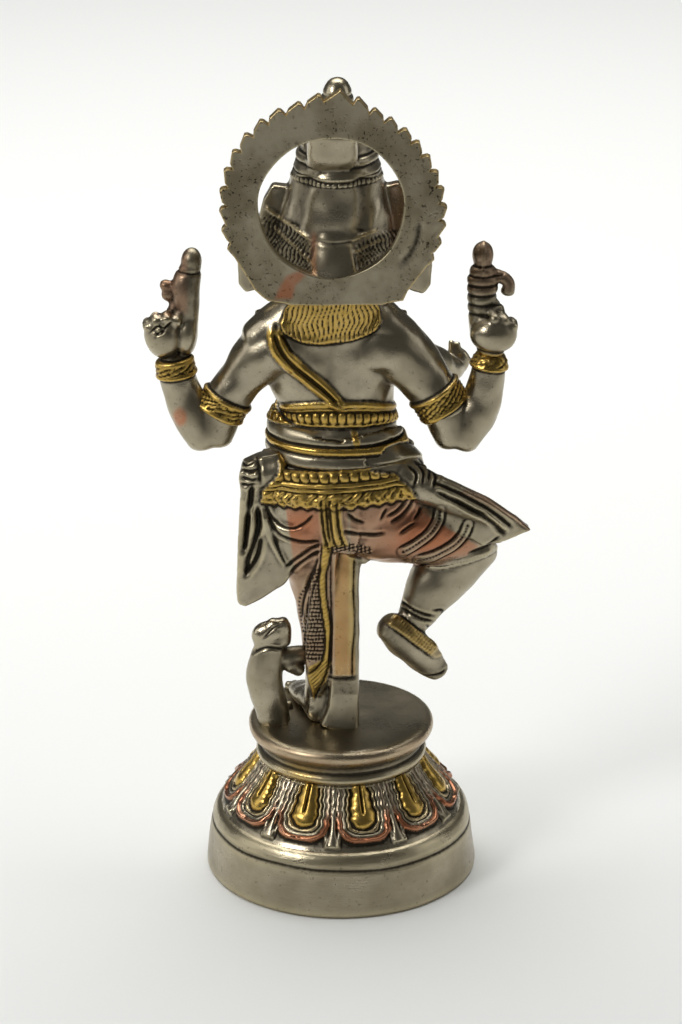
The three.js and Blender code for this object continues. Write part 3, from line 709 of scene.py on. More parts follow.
def worn_cast(name, gloss=0.36, tarnished=0.5, pits=0.0, brushed=0.0, brush_stretch=(1.0, 1.0, 12.0)):
    """Cast brass with a worn silver plate, as the mesh attributes say where.

    The eye sees a warm grey satin metal, yellow where brass is bare, with brown black recesses: these are
    patina, and painted shade in the broad hollows and marked places. Convex edges are painted lighter, as
    worn plate and as a painted highlight.
    gloss is the roughness of clean metal, tarnished how much olive film lies on it, pits how many
    casting pits show and brushed how strong the file marks are, along the axis that is not stretched.
    """
    metals = bpy.context.scene.ganesh_metals
    material = bpy.data.materials.new(name)
    material.use_nodes = True
    tree = material.node_tree
    tree.nodes.clear()
    place = add(tree, "ShaderNodeTexCoord").outputs["Object"]
    tone = add(tree, "ShaderNodeAttribute", {"attribute_name": "metal"}).outputs["Color"]
    tone = add(tree, "ShaderNodeSeparateColor", Color=tone).outputs
    hollows_and_edges = add(tree, "ShaderNodeAttribute", {"attribute_name": "hollows_and_edges"}).outputs["Color"]
    hollows_and_edges = add(tree, "ShaderNodeSeparateColor", Color=hollows_and_edges).outputs

    # Blotches 12 mm across, grime specks 1.2 mm across and a grain of 0.4 mm
    blotch = add(tree, "ShaderNodeTexNoise", Vector=place, Scale=85.0, Detail=3.0, Roughness=0.6).outputs[0]
    speck = add(tree, "ShaderNodeTexNoise", Vector=place, Scale=800.0, Detail=3.0, Roughness=0.65).outputs[0]
    grain = add(tree, "ShaderNodeTexNoise", Vector=place, Scale=2500.0, Detail=2.0, Roughness=0.6).outputs[0]

    film = ranged(tree, blotch, 0.36, 0.64, 0.0, tarnished)
    plate = mixed(tree, film, tuple(metals.plate), tuple(metals.tarnish))
    # Convex edges are painted lighter: the plate rubbed thin, and a painted highlight.
    rubbed_and_highlit = reckon(tree, "MULTIPLY", hollows_and_edges[1], 0.45)
    plate = mixed(tree, rubbed_and_highlit, plate, linear("#D8CBA6"))
    brass_share = reckon(tree, "MULTIPLY", tone[0], ranged(tree, speck, 0.3, 0.5, 0.75, 1.0))
    colour = mixed(tree, brass_share, plate, tuple(metals.brass))
    copper_share = reckon(tree, "MULTIPLY", tone[1], ranged(tree, blotch, 0.3, 0.55, 0.7, 1.0))
    colour = mixed(tree, copper_share, colour, tuple(metals.copper))

    # Darkening towards the patina colour: real patina in fine hollows and grooves, and painted shade in broad hollows
    # and marked places.
    patina_and_painted_shade = reckon(tree, "ADD", reckon(tree, "MULTIPLY", hollows_and_edges[0], 0.75), reckon(tree, "MULTIPLY", hollows_and_edges[2], 0.55))
    patina_and_painted_shade = reckon(tree, "ADD", patina_and_painted_shade, tone[2])
    grimy = ranged(tree, speck, 0.35, 0.7, 0.75, 1.25)
    patina_and_painted_shade = reckon(tree, "MULTIPLY", patina_and_painted_shade, grimy, clamp=True)
    colour = mixed(tree, reckon(tree, "MULTIPLY", patina_and_painted_shade, 0.93), colour, tuple(metals.patina_and_shade))
    fleck = ranged(tree, speck, 0.62, 0.72, 0.0, 0.45)
    colour = mixed(tree, fleck, colour, tuple(metals.patina_and_shade))

    rough = reckon(tree, "ADD", ranged(tree, blotch, 0.3, 0.7, gloss - 0.12, gloss + 0.02),
                   reckon(tree, "MULTIPLY", patina_and_painted_shade, 0.3))
    height = reckon(tree, "MULTIPLY", grain, 0.35)
    height = reckon(tree, "ADD", height, reckon(tree, "MULTIPLY", speck, 0.5))
    if brushed:
        stretched = add(tree, "ShaderNodeMapping", Vector=place, Scale=brush_stretch).outputs[0]
        marks = add(tree, "ShaderNodeTexNoise", Vector=stretched, Scale=260.0, Detail=4.0, Roughness=0.7)
        height = reckon(tree, "ADD", height, reckon(tree, "MULTIPLY", marks.outputs[0], 2.0 * brushed))
        lighter = ranged(tree, marks.outputs[0], 0.35, 0.65, 0.0, 0.35 * brushed)
        colour = mixed(tree, lighter, colour, tuple(metals.tarnish))
    if pits:
        pocks = add(tree, "ShaderNodeTexNoise", Vector=place, Scale=1250.0, Detail=1.0, Roughness=0.4).outputs[0]
        where = ranged(tree, blotch, 0.42, 0.62, 0.0, 1.0)
        pock = reckon(tree, "MULTIPLY", ranged(tree, pocks, 0.62, 0.70), reckon(tree, "MULTIPLY", where, pits))
        colour = mixed(tree, pock, colour, tuple(metals.patina_and_shade))
        height = reckon(tree, "SUBTRACT", height, reckon(tree, "MULTIPLY", pock, 3.0))
    bump = add(tree, "ShaderNodeBump", Height=height, Strength=0.35, Distance=0.00025).outputs[0]
    shader = add(tree, "ShaderNodeBsdfPrincipled", Base_Color=colour, Metallic=1.0, Roughness=rough, Normal=bump)
    add(tree, "ShaderNodeOutputMaterial", Surface=shader.outputs[0])
    return material


def finish_piece(name, work, material, softer=1):
    """Makes the worked skin a piece: its points, the shares of metal, and how hollow each place is."""
    points, faces = work.done()
    points = relaxed(points, faces, softer)
    near, wide = hollows_of(points, faces)
    mesh = mesh_of(name, points * MM, faces)
    whole = np.ones(len(points))
    metal = np.stack([work.brass, work.copper, work.dirt_and_shade, whole], -1)
    # Fine hollows, convex edges and broad hollows: they drive the patina with painted shade, and the lighter edges that
    # are wear with a painted highlight.
    hollows_and_edges = np.stack([near / 0.11, -near / 0.12, wide / 0.75, whole], -1)
    for label, values in (("metal", metal), ("hollows_and_edges", hollows_and_edges)):
        layer = mesh.attributes.new(label, "FLOAT_COLOR", "POINT")
        layer.data.foreach_set("color", np.clip(values, 0.0, 1.0).astype(np.float32).ravel())
    mesh.materials.append(material)
    piece = bpy.data.objects.new(name, mesh)
    bpy.context.collection.objects.link(piece)
    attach(piece, "root")
    return piece


def fine(mm):
    return mm * 1.0 * bpy.context.scene.ganesh_sizes.grain / 0.00036


# The figure


def belts_on(work):
    """Belts round the trunk, each between two heights that rise at the back by the cosine of the turn."""
    turn, arc, near = round_body(work.points)
    z = work.points[:, 2]
    back = np.clip(np.cos(turn), 0.0, 1.0)
    on_trunk = (near < 1.14) & (np.abs(work.normals[:, 2]) < 0.75)

    top, middle, bottom = 134.6 + 5.4 * back, 132.9 + 4.2 * back, 130.2 + 2.2 * back
    belt = between(z - bottom, 0.0, top - bottom, 0.35) * on_trunk
    roll_height = (top - middle) / 2
    roll = half_round(z - middle - roll_height, roll_height * 1.05)
    crease = np.exp(-(((z - middle - roll_height * 0.7) / 0.3) ** 2)) + np.exp(-(((z - middle) / 0.3) ** 2))
    bead_height = (middle - bottom) / 2
    across = (z - bottom - bead_height * 1.1) / (bead_height * 0.72)
    bead = np.sqrt(np.clip(1 - np.abs(saw(arc, 2.1) / 0.92) ** 2.6 - np.abs(across) ** 2.6, 0, None))
    lip = half_round(z - bottom - 0.4, 0.42)
    work.rise += belt * (0.45 + 0.5 * roll + 0.75 * bead + 0.4 * lip - 0.3 * crease)
    work.brass = np.maximum(work.brass, belt)
    in_beads = belt * (z < middle) * (1 - np.clip(bead * 2.2, 0, 1)) * (1 - np.clip(lip * 2, 0, 1))
    work.dirt_and_shade = np.maximum(work.dirt_and_shade, 0.75 * in_beads + 0.6 * belt * np.clip(crease, 0, 1) * (z > bottom + 1))

    band = between(z, 125.2, 127.1, 0.3) * on_trunk
    work.rise += band * (0.3 + 0.5 * half_round(z - 126.15, 1.0))
    work.brass = np.maximum(work.brass, band)
    for height, width, bulge in ((129.3, 2.0, 0.7), (123.3, 1.9, 0.8)):
        work.rise += bulge * half_round(z - height, width) * on_trunk * (near < 1.1)
    for height in (127.5, 124.9, 121.2):
        line = np.exp(-(((z - height) / 0.35) ** 2)) * on_trunk
        work.rise -= 0.35 * line
        work.dirt_and_shade = np.maximum(work.dirt_and_shade, 0.85 * line)
    shade = between(z, 121.0, 131.0, 1.2) * on_trunk * (1 - work.brass)
    work.dirt_and_shade = np.maximum(work.dirt_and_shade, 0.16 * shade)


def pleated_collar(work):
    """Pleats that fan out between the collar's two side lines, down to its curved hem."""
    hem_x, hem_z = np.array(COLLAR_HEM[0]).T
    order = np.argsort(hem_x)
    hem = np.interp(work.x, hem_x[order], hem_z[order])
    left_x, left_z = np.array(COLLAR_LEFT[0]).T
    right_x, right_z = np.array(COLLAR_RIGHT[0]).T
    left = np.interp(work.z, left_z[::-1], left_x[::-1])
    right = np.interp(work.z, right_z[::-1], right_x[::-1])
    place = (work.x - right) / np.maximum(left - right, 1.0)
    on = between(place, 0.0, 1.0, 0.02) * between(work.z, hem, 171.0, 0.5) * work.facing
    strand = place * 21 + 0.25 * np.sin(work.z * 0.9 + place * 9)
    ridge = half_round(saw(strand, 1.0), 0.5)
    scallop = 0.35 * ridge * soft_step(hem + 1.6 - work.z, 1.5)
    work.rise += on * (0.75 + 0.75 * ridge + scallop - 0.35)
    work.brass = np.maximum(work.brass, on * (0.35 + 0.6 * soft_step(ridge - 0.45, 0.5)))
    work.dirt_and_shade = np.maximum(work.dirt_and_shade, on * 0.95 * (1 - soft_step(ridge - 0.35, 0.6)))
    rim = np.exp(-(((work.z - hem + 0.35) / 0.4) ** 2)) * between(place, -0.01, 1.01, 0.02) * work.facing
    work.dirt_and_shade = np.maximum(work.dirt_and_shade, 0.8 * rim)


def sacred_thread(work):
    """The double cord from the left shoulder down to the chest belt, and its end under the belt."""
    strap = THREAD_LEFT[0] + THREAD_RIGHT[0][::-1]
    on = work.inside(strap, 0.8)
    work.rise += 0.35 * on
    work.brass = np.maximum(work.brass, 0.95 * on)
    work.cord(THREAD_LEFT, 0.95, 0.75, brass=1.0)
    work.cord(THREAD_RIGHT, 0.85, 0.75, brass=1.0)
    middle = [[tuple(p) for p in (np.array(THREAD_LEFT[0][1:]) + np.array(THREAD_RIGHT[0])) / 2]]
    work.cut(middle, 0.45, 0.35, 0.8)
    work.cut(THREAD_LEAF, 0.4, 0.4, 0.9)
    work.cord(THREAD_LOW, 0.9, 0.6, brass=0.95)


def necklaces(work):
    """Strings of beads on the chest: rings that hang in front by the cosine of the turn."""
    turn, arc, near = round_body(work.points)
    z = work.points[:, 2]
    front = np.clip(-np.cos(turn), 0.0, 1.0)
    for high, drop, pitch in ((163.0, 6.0, 1.6), (158.0, 8.0, 2.0), (154.0, 9.5, 2.4)):
        off = z - high + drop * front
        on = (near < 1.2) * soft_step(front - 0.1, 0.2) * np.clip(-work.normals[:, 1] * 3, 0, 1)
        bead = half_round(np.hypot(off, saw(arc, pitch)), pitch * 0.46)
        work.rise += on * bead * 0.75
        work.brass = np.maximum(work.brass, on * between(off, -0.9, 0.9))
        work.dirt_and_shade = np.maximum(work.dirt_and_shade, on * between(off, -1.2, 1.2) * 0.7 * (1 - np.clip(bead * 2, 0, 1)))


def torso_shells():
    shoulder = {"around": 36, "along": 6}
    return [
        limb([(x, y, z, a, b) for x, y, z, a, b in TORSO if z > 114], around=56, along=6, dome=0.15),
        limb([[9, 1.4, 163, 6.4, 7], [16, 1.6, 159.6, 6, 6.6], [22, 1.8, 154.6, 5.6, 6]], **shoulder),
        limb([[-5, 1.4, 163, 6.4, 7], [-11, 1.6, 159.4, 6, 6.8], [-16.5, 1.9, 154.6, 5.6, 6.6]], **shoulder),
        limb([[10, 1, 153.5, 9, 8], [16, 1.6, 153.2, 9, 8], [21.2, 2, 150.2, 7.8, 7.2], [26.7, 2.3, 143.9, 6.1, 6],
              [31.2, 2.5, 137, 6.2, 5.9], [33, 2.5, 134.1, 6.3, 6]], dome=0.05, **shoulder),
        limb([[-6, 1, 153.5, 9, 8], [-12.6, 1.6, 153.4, 9.2, 8], [-18.6, 2.1, 148.6, 7.8, 7.2],
              [-24, 2.4, 141.5, 6.8, 6.5], [-27.6, 2.5, 135.8, 6.7, 6.4], [-28, 2.5, 135, 6.7, 6.3]],
             dome=0.05, **shoulder),
        blob([1.5, -10, 126.5], [12.5, 8, 10]),
    ]


def front_arm_shells():
    hand = [
        limb([[-31.2 + (x + 31.2) * 0.6, -18, 140.4, 1.1, 1.3], [x, -18.2, top - 0.8, 0.8, 1.0]])
        for x, top in ((-28.3, 141.8), (-29.8, 147.8), (-31.6, 147.4), (-33.4, 143.6), (-34.9, 142.8))
    ]
    return hand + [
        limb([[-10, -2, 151, 7, 6], [-19, -7, 147.2, 5.6, 5.4], [-26.4, -12, 142.2, 4.8, 4.6]]),
        limb([[-26.4, -12.2, 142, 4.6, 4.4], [-29.2, -15.4, 140, 3.9, 3.7], [-31, -17.6, 139.8, 3.2, 3]],
             depth=UPWARD),
        blob([-31.4, -18, 141.4], [3.7, 2, 4]),
        limb([[11, -2, 150, 6, 6], [10.8, -9, 143.6, 5.2, 5.2], [10.6, -14, 138.8, 4.7, 4.6]]),
        limb([[10.6, -14.2, 138.4, 4.6, 4.4], [9.2, -20, 135.2, 3.8, 3.6], [6.6, -24.2, 134, 3.4, 3]],
             depth=UPWARD),
        blob([5.4, -26, 135.4], [4.4, 4.4, 2.4]),
        blob([5.4, -26.2, 138.2], [3.2, 3.2, 2.6]),
    ]


class GANESH_OT_torso(bpy.types.Operator):
    """The trunk of the body with its shoulders, upper arms, front arms, belts, collar and cord"""

    bl_idname = "ganesh.torso"
    bl_label = "Torso"

    def execute(self, context):
        points, faces = fuse(torso_shells() + front_arm_shells(), fine(0.385))
        work = Chasing(relaxed(points, faces, 8), faces)
        work.hand_finish(0.09)
        x, z = work.x, work.z
        back = work.facing * (work.points[:, 1] > 0)
        for at_x, at_z, wide, tall, bulge in (
            (-7, 148, 6, 5, 0.8), (12, 147, 5, 5, 0.5), (2.5, 147, 2.6, 9, -0.7), (17, 150, 5, 4, 0.5),
            (-16, 151, 4, 4, 0.5),
        ):
            work.rise += bulge * np.exp(-(((x - at_x) / wide) ** 2) - ((z - at_z) / tall) ** 2) * back
        belts_on(work)
        pleated_collar(work)
        sacred_thread(work)
        necklaces(work)
        work.carved_band([30.9, 2.4, 139.6], [33.5, 2.5, 134.8], 8.6)
        work.carved_band([-24.4, 2.4, 140.9], [-27.8, 2.5, 135.5], 9.2)
        navel = np.hypot(work.points[:, 0] - 1.6, work.points[:, 2] - 125.4)
        work.rise -= 1.2 * np.exp(-((navel / 1.1) ** 2)) * (work.points[:, 1] < -12)
        piece = finish_piece("torso", work, worn_cast("satin_silvered_brass", 0.34, 0.5))
        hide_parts("dancing_ganesh_casting")
        return {"FINISHED"}


def fist(knuckles, radius):
    """Curled fingers: one short bent limb for each knuckle point, over the ball of the hand."""
    return [
        limb([[x, y, z, radius, radius], [x * 0.97 + dx, y - 2.2, z + 0.9, radius, radius],
              [x * 0.95 + dx, y - 4.4, z - 1.2, radius * 0.9, radius * 0.9]], around=14)
        for x, y, z, dx in knuckles
    ]


def left_forearm_shells():
    return fist([(43.6, 5.2, 160.6, 1), (46, 5.6, 161.4, 1.6), (48.6, 5.4, 160.8, 2), (50.6, 5, 159, 2.2)], 1.55) + [
        limb([[30.2, 2.4, 138.6, 5.6, 5.4], [32.2, 2.5, 135, 6.0, 5.8], [35, 2.5, 128.8, 6.4, 6]], around=32),
        limb([[36, 2.5, 127.8, 5.8, 6], [40.3, 2.5, 135.4, 5.7, 5.4], [42.7, 2.5, 141.3, 5, 4.8],
              [44.2, 2.5, 148, 4.9, 4.5]], around=32),
        blob([47.3, 3, 156.2], [4.9, 4.8, 6.1], 8),
        blob([41, 1.5, 156], [3.0, 4.2, 6], -6),
        limb([[41, 1, 157, 3, 3], [41, 0.8, 164, 3.5, 3.4], [40.9, 0.5, 170, 3.8, 3.7], [39.8, 0.3, 174, 3.0, 2.9]]),
        blob([39.5, 0, 176.4], [2.9, 3.0, 3.5]),
        blob([46.4, 0.3, 169.6], [1.7, 1.9, 1.6]),
        blob([45.7, 0.3, 166.9], [2.0, 2.0, 2.0]),
        limb([[46, 1, 158, 2.2, 2.2], [43.4, 0.8, 164.4, 2.0, 2.1]]),
        limb([[42, 0.4, 169, 2, 2.4], [45.4, 0.3, 169, 1.5, 1.7]]),
    ]


def right_forearm_shells():
    return fist([(-45.4, 4.6, 159, -1), (-43.4, 5.2, 160.8, -0.4), (-40.9, 5.4, 161.4, 0.2)], 1.6) + [
        limb([[-25.0, 2.45, 139.9, 6.0, 5.8], [-27.6, 2.5, 135.7, 6.3, 6.0], [-30.8, 2.5, 128.2, 6.2, 6]], around=32),
        limb([[-31.6, 2.5, 127.8, 5.9, 6], [-36.4, 2.5, 135, 5.8, 5.4], [-38.4, 2.5, 141, 5, 4.8],
              [-39.6, 2.5, 149, 4.4, 4.4]], around=32),
        blob([-40.4, 3, 156.8], [6.4, 4.9, 5.4]),
        limb([[-37.2, 1, 157, 3.2, 3.2], [-37.2, 0.8, 164, 3.7, 3.5], [-37.4, 0.5, 170.5, 4.2, 3.7],
              [-37.4, 0.2, 174.5, 3.2, 3.1]]),
        blob([-37.4, 0, 178], [3.0, 3.0, 3.6]),
        limb([[-39.6, 0.2, 172.2, 2, 2], [-42.4, 0.1, 171.8, 1.7, 2.0], [-44.4, 0, 170, 1.7, 2.0],
              [-44.2, 0, 167.6, 2.0, 2.1]]),
        blob([-41.6, 1.6, 163.2], [1.8, 2, 2.8], 20),
    ]


def turned_rings(work, start, end, reach, pitch, height):
    """Shallow rings round an axis, one each pitch millimetres."""
    along, _, radius, square_on = work.round_axis(start, end)
    length = float(np.linalg.norm(np.array(end, float) - np.array(start, float)))
    on = between(along, 0.0, length, 1.0) * (radius < reach) * square_on
    line = np.exp(-((saw(along, pitch) / (0.2 * pitch)) ** 2))
    work.rise -= on * height * line
    work.dirt_and_shade = np.maximum(work.dirt_and_shade, 0.75 * on * line)


class GANESH_OT_forearms(bpy.types.Operator):
    """The raised rear forearms, each with a bracelet, a fist and what it holds"""

    bl_idname = "ganesh.forearms"
    bl_label = "Rear forearms"

    def execute(self, context):
        finish = worn_cast("satin_silvered_brass_arms", 0.35, 0.55)
        points, faces = fuse(left_forearm_shells(), fine(0.385))
        work = Chasing(relaxed(points, faces, 6), faces)
        work.hand_finish(0.08)
        work.carved_band([43.8, 2.5, 145.0], [44.5, 2.5, 149.6], 7.2, rise=0.6, bead=1.7)
        work.cut(HAND_CRACKS, 0.3, 0.4, 1.0)
        high = work.points[:, 2]
        held = soft_step(high - 163.0, 3.0)
        # Everything the hand holds above 163 mm is painted darker all over.
        work.dirt_and_shade = np.maximum(work.dirt_and_shade, 0.42 * held)
        work.copper = np.maximum(work.copper, 0.5 * held * soft_step(work.points[:, 0] - 40.5, 2.0))
        spot = np.hypot(work.x - 43.2, (work.z - 132.0) * 0.7)
        work.copper = np.maximum(work.copper, 0.8 * soft_step(1.8 - spot, 1.4) * work.facing)
        turned_rings(work, [40.0, 0, 172.4], [39.8, 0, 174.8], 5.5, 2.4, 0.35)
        finish_piece("left_forearm", work, finish)

        points, faces = fuse(right_forearm_shells(), fine(0.385))
        work = Chasing(relaxed(points, faces, 6), faces)
        work.hand_finish(0.08)
        work.carved_band([-39.2, 2.5, 147.4], [-39.8, 2.5, 152.4], 6.8, rise=0.6, bead=1.7)
        high = work.points[:, 2]
        # Everything the hand holds above 162 mm is painted darker all over.
        work.dirt_and_shade = np.maximum(work.dirt_and_shade, 0.42 * soft_step(high - 162.0, 3.0))
        work.copper = np.maximum(work.copper, 0.3 * soft_step(high - 168.0, 4.0))
        turned_rings(work, [-37.3, 0, 161.0], [-37.3, 0, 176.0], 5.8, 2.6, 0.4)
        ridge = np.exp(-(((work.x + 37.6) / 0.5) ** 2)) * soft_step(high - 174.0, 1.5) * work.facing
        work.rise += 0.4 * ridge
        finish_piece("right_forearm", work, finish)
        return {"FINISHED"}


def ear(side):
    """An ear as a leaf standing out from the head. side is 1 for the figure's left and -1 for its right."""
    if side > 0:
        outline = [(10, 193), (14, 196.5), (18, 197), (20.4, 193), (21.4, 188.4), (25.4, 182.6), (27.3, 175.4),
                   (27.3, 169.4), (25.2, 167), (21.6, 168), (17.6, 171.8), (11, 177)]
    else:
        outline = [(-8, 193), (-8, 177), (-13.6, 171.4), (-18.4, 167.6), (-21.8, 166.7), (-24, 169.2),
                   (-24, 176), (-21.8, 184.6), (-18.6, 190.6), (-17.6, 195), (-15, 197.6), (-11.6, 196.6)]
    return leaf(np.array(outline, float), -0.4, 3.6, bow=0.8)


def head_shells():
    crown = [
        (0, 200), (11, 201.2), (11.5, 202.6), (10.6, 203.9), (11.1, 205.2), (10.7, 206.6), (9.4, 208.2),
        (9.2, 211), (8, 214.4), (6.2, 217.4), (4.6, 219.4), (4.2, 221.2), (3.4, 224), (2, 225.7), (0, 226.4),
    ]
    return [
        limb([[1.8, 0.5, 166, 10.5, 9], [1.8, 0.5, 170, 12, 9.5], [1.6, -1.5, 177, 15.4, 12.6],
              [1.4, -2.8, 184, 15.6, 14.2], [1.2, -2.6, 191, 14.4, 13.6], [1.1, -1.6, 198, 12.4, 12],
              [1, -0.8, 204, 11, 11]], around=56, along=8, dome=0.2),
        limb([[1.4, -13, 184, 7, 6], [1.4, -17.8, 176, 5.4, 5.2], [0.9, -20, 166, 4.6, 4.6],
              [0.4, -21.2, 156, 4, 4], [1.4, -22.8, 149, 3.5, 3.4], [4.2, -25.4, 144.8, 3, 3],
              [6, -28.2, 145.8, 2.3, 2.3]], depth=SIDEWAYS),
        limb([[5.4, -13.5, 174, 2, 2], [7.4, -19, 170.6, 1.6, 1.6], [8.6, -23, 169.4, 1, 1]], depth=SIDEWAYS),
        limb([[-2.6, -13.5, 174, 2, 2], [-4.6, -18.2, 171.2, 1.7, 1.7]], depth=SIDEWAYS),
        blob([1.6, -12.5, 171.5], [5.5, 4.5, 4]),
        blob([-4.6, -8, 190], [6.5, 6.5, 6]),
        blob([7, -8, 190], [6.5, 6.5, 6]),
        ear(1),
        ear(-1),
        turned(smooth_path(crown, 60), (1.0, -0.8)),
        limb([[2.2, 5.5, 205, 6.9, 3.6], [2.2, 9.6, 209, 6.7, 3.4], [2, 13.4, 215, 6.2, 2]], square=3.2),
        limb([[1.9, 6, 190, 4.6, 3.4], [1.9, 9, 184, 5.0, 3.4], [2, 12.8, 173, 7.0, 2.6]], square=3),
    ]


class GANESH_OT_head(bpy.types.Operator):
    """The elephant head with its ears, trunk, tusks and ringed crown, and the two bridges to the ring"""

    bl_idname = "ganesh.head"
    bl_label = "Head and crown"

    def execute(self, context):
        points, faces = fuse(head_shells(), fine(0.39))
        work = Chasing(relaxed(points, faces, 6), faces)
        work.hand_finish(0.08)
        x, y, z = work.points.T
        back = work.facing * (y > -2)
        on_skull = back * (z < 203) * (y > 2)
        work.rise += 0.8 * np.exp(-(((work.x - 3.6) / 3.6) ** 2)) * between(z, 176, 199, 9) * on_skull
        # The flutes are painted darker: patina in them, and painted shade across their broad hollows.
        for line in HEAD_FLUTES:
            off, _, taper = work.distance(line)
            flute = np.exp(-((off / 2.0) ** 2)) * taper * on_skull
            work.rise -= 0.9 * flute
            work.dirt_and_shade = np.maximum(work.dirt_and_shade, 0.42 * flute)
        for outline in HATCH_LEFT + HATCH_RIGHT:
            tufted = work.inside(outline, 1.2)
            lean = 0.5 if outline is HATCH_LEFT[0] else -0.5
            strand = saw(work.x + lean * work.z + 0.5 * np.sin(0.9 * work.z), 1.15)
            nick = saw(work.z - lean * work.x + 1.3 * np.sin(2.1 * work.x), 1.9)
            work.rise += tufted * (0.5 * half_round(strand, 0.58) * (0.5 + half_round(nick, 0.95)) - 0.5)
            work.dirt_and_shade = np.maximum(work.dirt_and_shade, tufted * (0.45 + 0.4 * (1 - half_round(strand, 0.58))))
        work.cord(HEAD_BANDS, 0.55, 0.75, brass=0.25, twist=1.3)
        work.cut(HEAD_BANDS, 0.35, 0.2, 0.3)
        work.cut(NAPE_LINE, 0.5, 0.3, 0.5)
        slab = between(work.x, -4.6, 9.0, 1.6) * work.facing * (y > 5.5) * (z < 192) * (z > 168)
        work.dirt_and_shade *= 1 - 0.8 * slab
        stain = np.exp(-(((work.x - 7.0) / 0.9) ** 2)) * between(work.z, 172, 184, 3) * work.facing
        work.copper = np.maximum(work.copper, 0.6 * stain)
        ear_rim = work.facing * (work.x < -13) * (z > 176) * (z < 199)
        work.copper = np.maximum(work.copper, 0.35 * ear_rim)

        turn = np.arctan2(x - 1.0, y + 0.8)
        radius = np.hypot(x - 1.0, y + 0.8)
        on_crown = (z > 200.6) * (radius > 3) * (y < 9.5)
        for height in (201.9, 204.5, 207.3):
            line = np.exp(-(((z - height) / 0.36) ** 2)) * on_crown
            work.rise -= 0.5 * line
            work.dirt_and_shade = np.maximum(work.dirt_and_shade, 0.85 * line)
        beads = half_round(np.hypot(z - 200.2, saw(turn * 11.6, 1.5)), 0.72) * (radius > 9) * (y > -1)
        work.rise += 0.5 * beads
        work.dirt_and_shade = np.maximum(work.dirt_and_shade, 0.7 * between(z, 199.2, 201.2, 0.3) * (1 - beads) * (y > 4) * (radius > 9))
        leaves = half_round(saw(turn * 6.0, 6.0), 3.0) * between(z, 208.4, 218, 1) * on_crown * (y < 3)
        work.rise += 0.6 * leaves
        for height in (219.6, 221.8):
            work.rise -= 0.35 * np.exp(-(((z - height) / 0.35) ** 2)) * (radius < 7)
        # The crown's wide lower rings, from 202 to 212 mm, are painted darker on their visible side.
        crown_band_darkening = np.clip(on_crown * work.facing, 0, 1) * (radius > 8) * (z > 202) * (z < 212)
        work.dirt_and_shade = np.maximum(work.dirt_and_shade, 0.25 * crown_band_darkening)

        front = np.clip(-work.normals[:, 1] * 3, 0, 1) * (y < -6)
        for at_x in (-6.2, 9.2):
            off = np.hypot((x - at_x) / 2.6, (z - 182.4) / 1.25)
            work.rise += front * (0.9 * half_round(off, 1.0) + 0.5 * np.exp(-(((off - 1.25) / 0.16) ** 2)))
            work.dirt_and_shade = np.maximum(work.dirt_and_shade, front * 0.7 * np.exp(-(((off - 1.0) / 0.12) ** 2)))
        wrinkle = (y < -13) * (z < 181) * (np.abs(x - 1.4) < 9)
        work.rise -= 0.28 * wrinkle * np.exp(-((saw(z + 0.25 * y, 2.3) / 0.32) ** 2)) * (z > 148)
        brow = np.exp(-(((np.hypot(x - 1.4, z - 196) - 6.5) / 0.6) ** 2)) * front * (z < 199) * (z > 190)
        work.rise += 0.5 * brow
        work.brass = np.maximum(work.brass, 0.8 * brow)
        finish_piece("head_and_crown", work, worn_cast("satin_silvered_brass_head", 0.33, 0.45))
        return {"FINISHED"}


def ring_outline():
    """The ring's rim as X and Z: saw teeth whose tips lean up to the apex, on a straight foot.

    Each tooth is three points at radii from the ring's centre: its notch, a shoulder and its tip.
    """
    def at(degrees, radius):
        turn = np.radians(degrees)
        apex = 2.8 * max(0.0, 1 - abs(93.2 - degrees) / 20)
        fuller = 0.9 * np.sin(2 * turn) if np.sin(turn) > 0 else 0.0
        reach = radius + apex + fuller
        return 2.0 + reach * np.cos(turn), 195.2 + reach * np.sin(turn)

    rim = [(-4, 169.25), (5, 169.1), (13.6, 169.2), (14.6, 169.6), (19.0, 170.2), (20.6, 171.4), (22.4, 173.1)]
    for side, count, pitch in ((1, 11, 10.4), (-1, 12, 9.5)):
        teeth = []
        for index in range(count):
            tip = 93.2 - side * (count - index) * pitch
            deep = 1.2 + 0.5 * np.sin(3.7 * index)
            smooth = 0.55 if index < 2 else 1.0
            teeth += [at(tip - side * pitch * 0.55, 29.0 - 0.3 * deep * smooth), at(tip, 29.6),
                      at(tip + side * 1.3, 29.1), at(tip + side * 2.3, 29.3 - 1.9 * smooth)]
        rim += teeth + [at(93.2, 29.5)] if side > 0 else teeth[::-1]
    return np.array(rim + [(-17.3, 172.8), (-16.3, 170.4), (-12.0, 169.6), (-10.9, 169.2)])


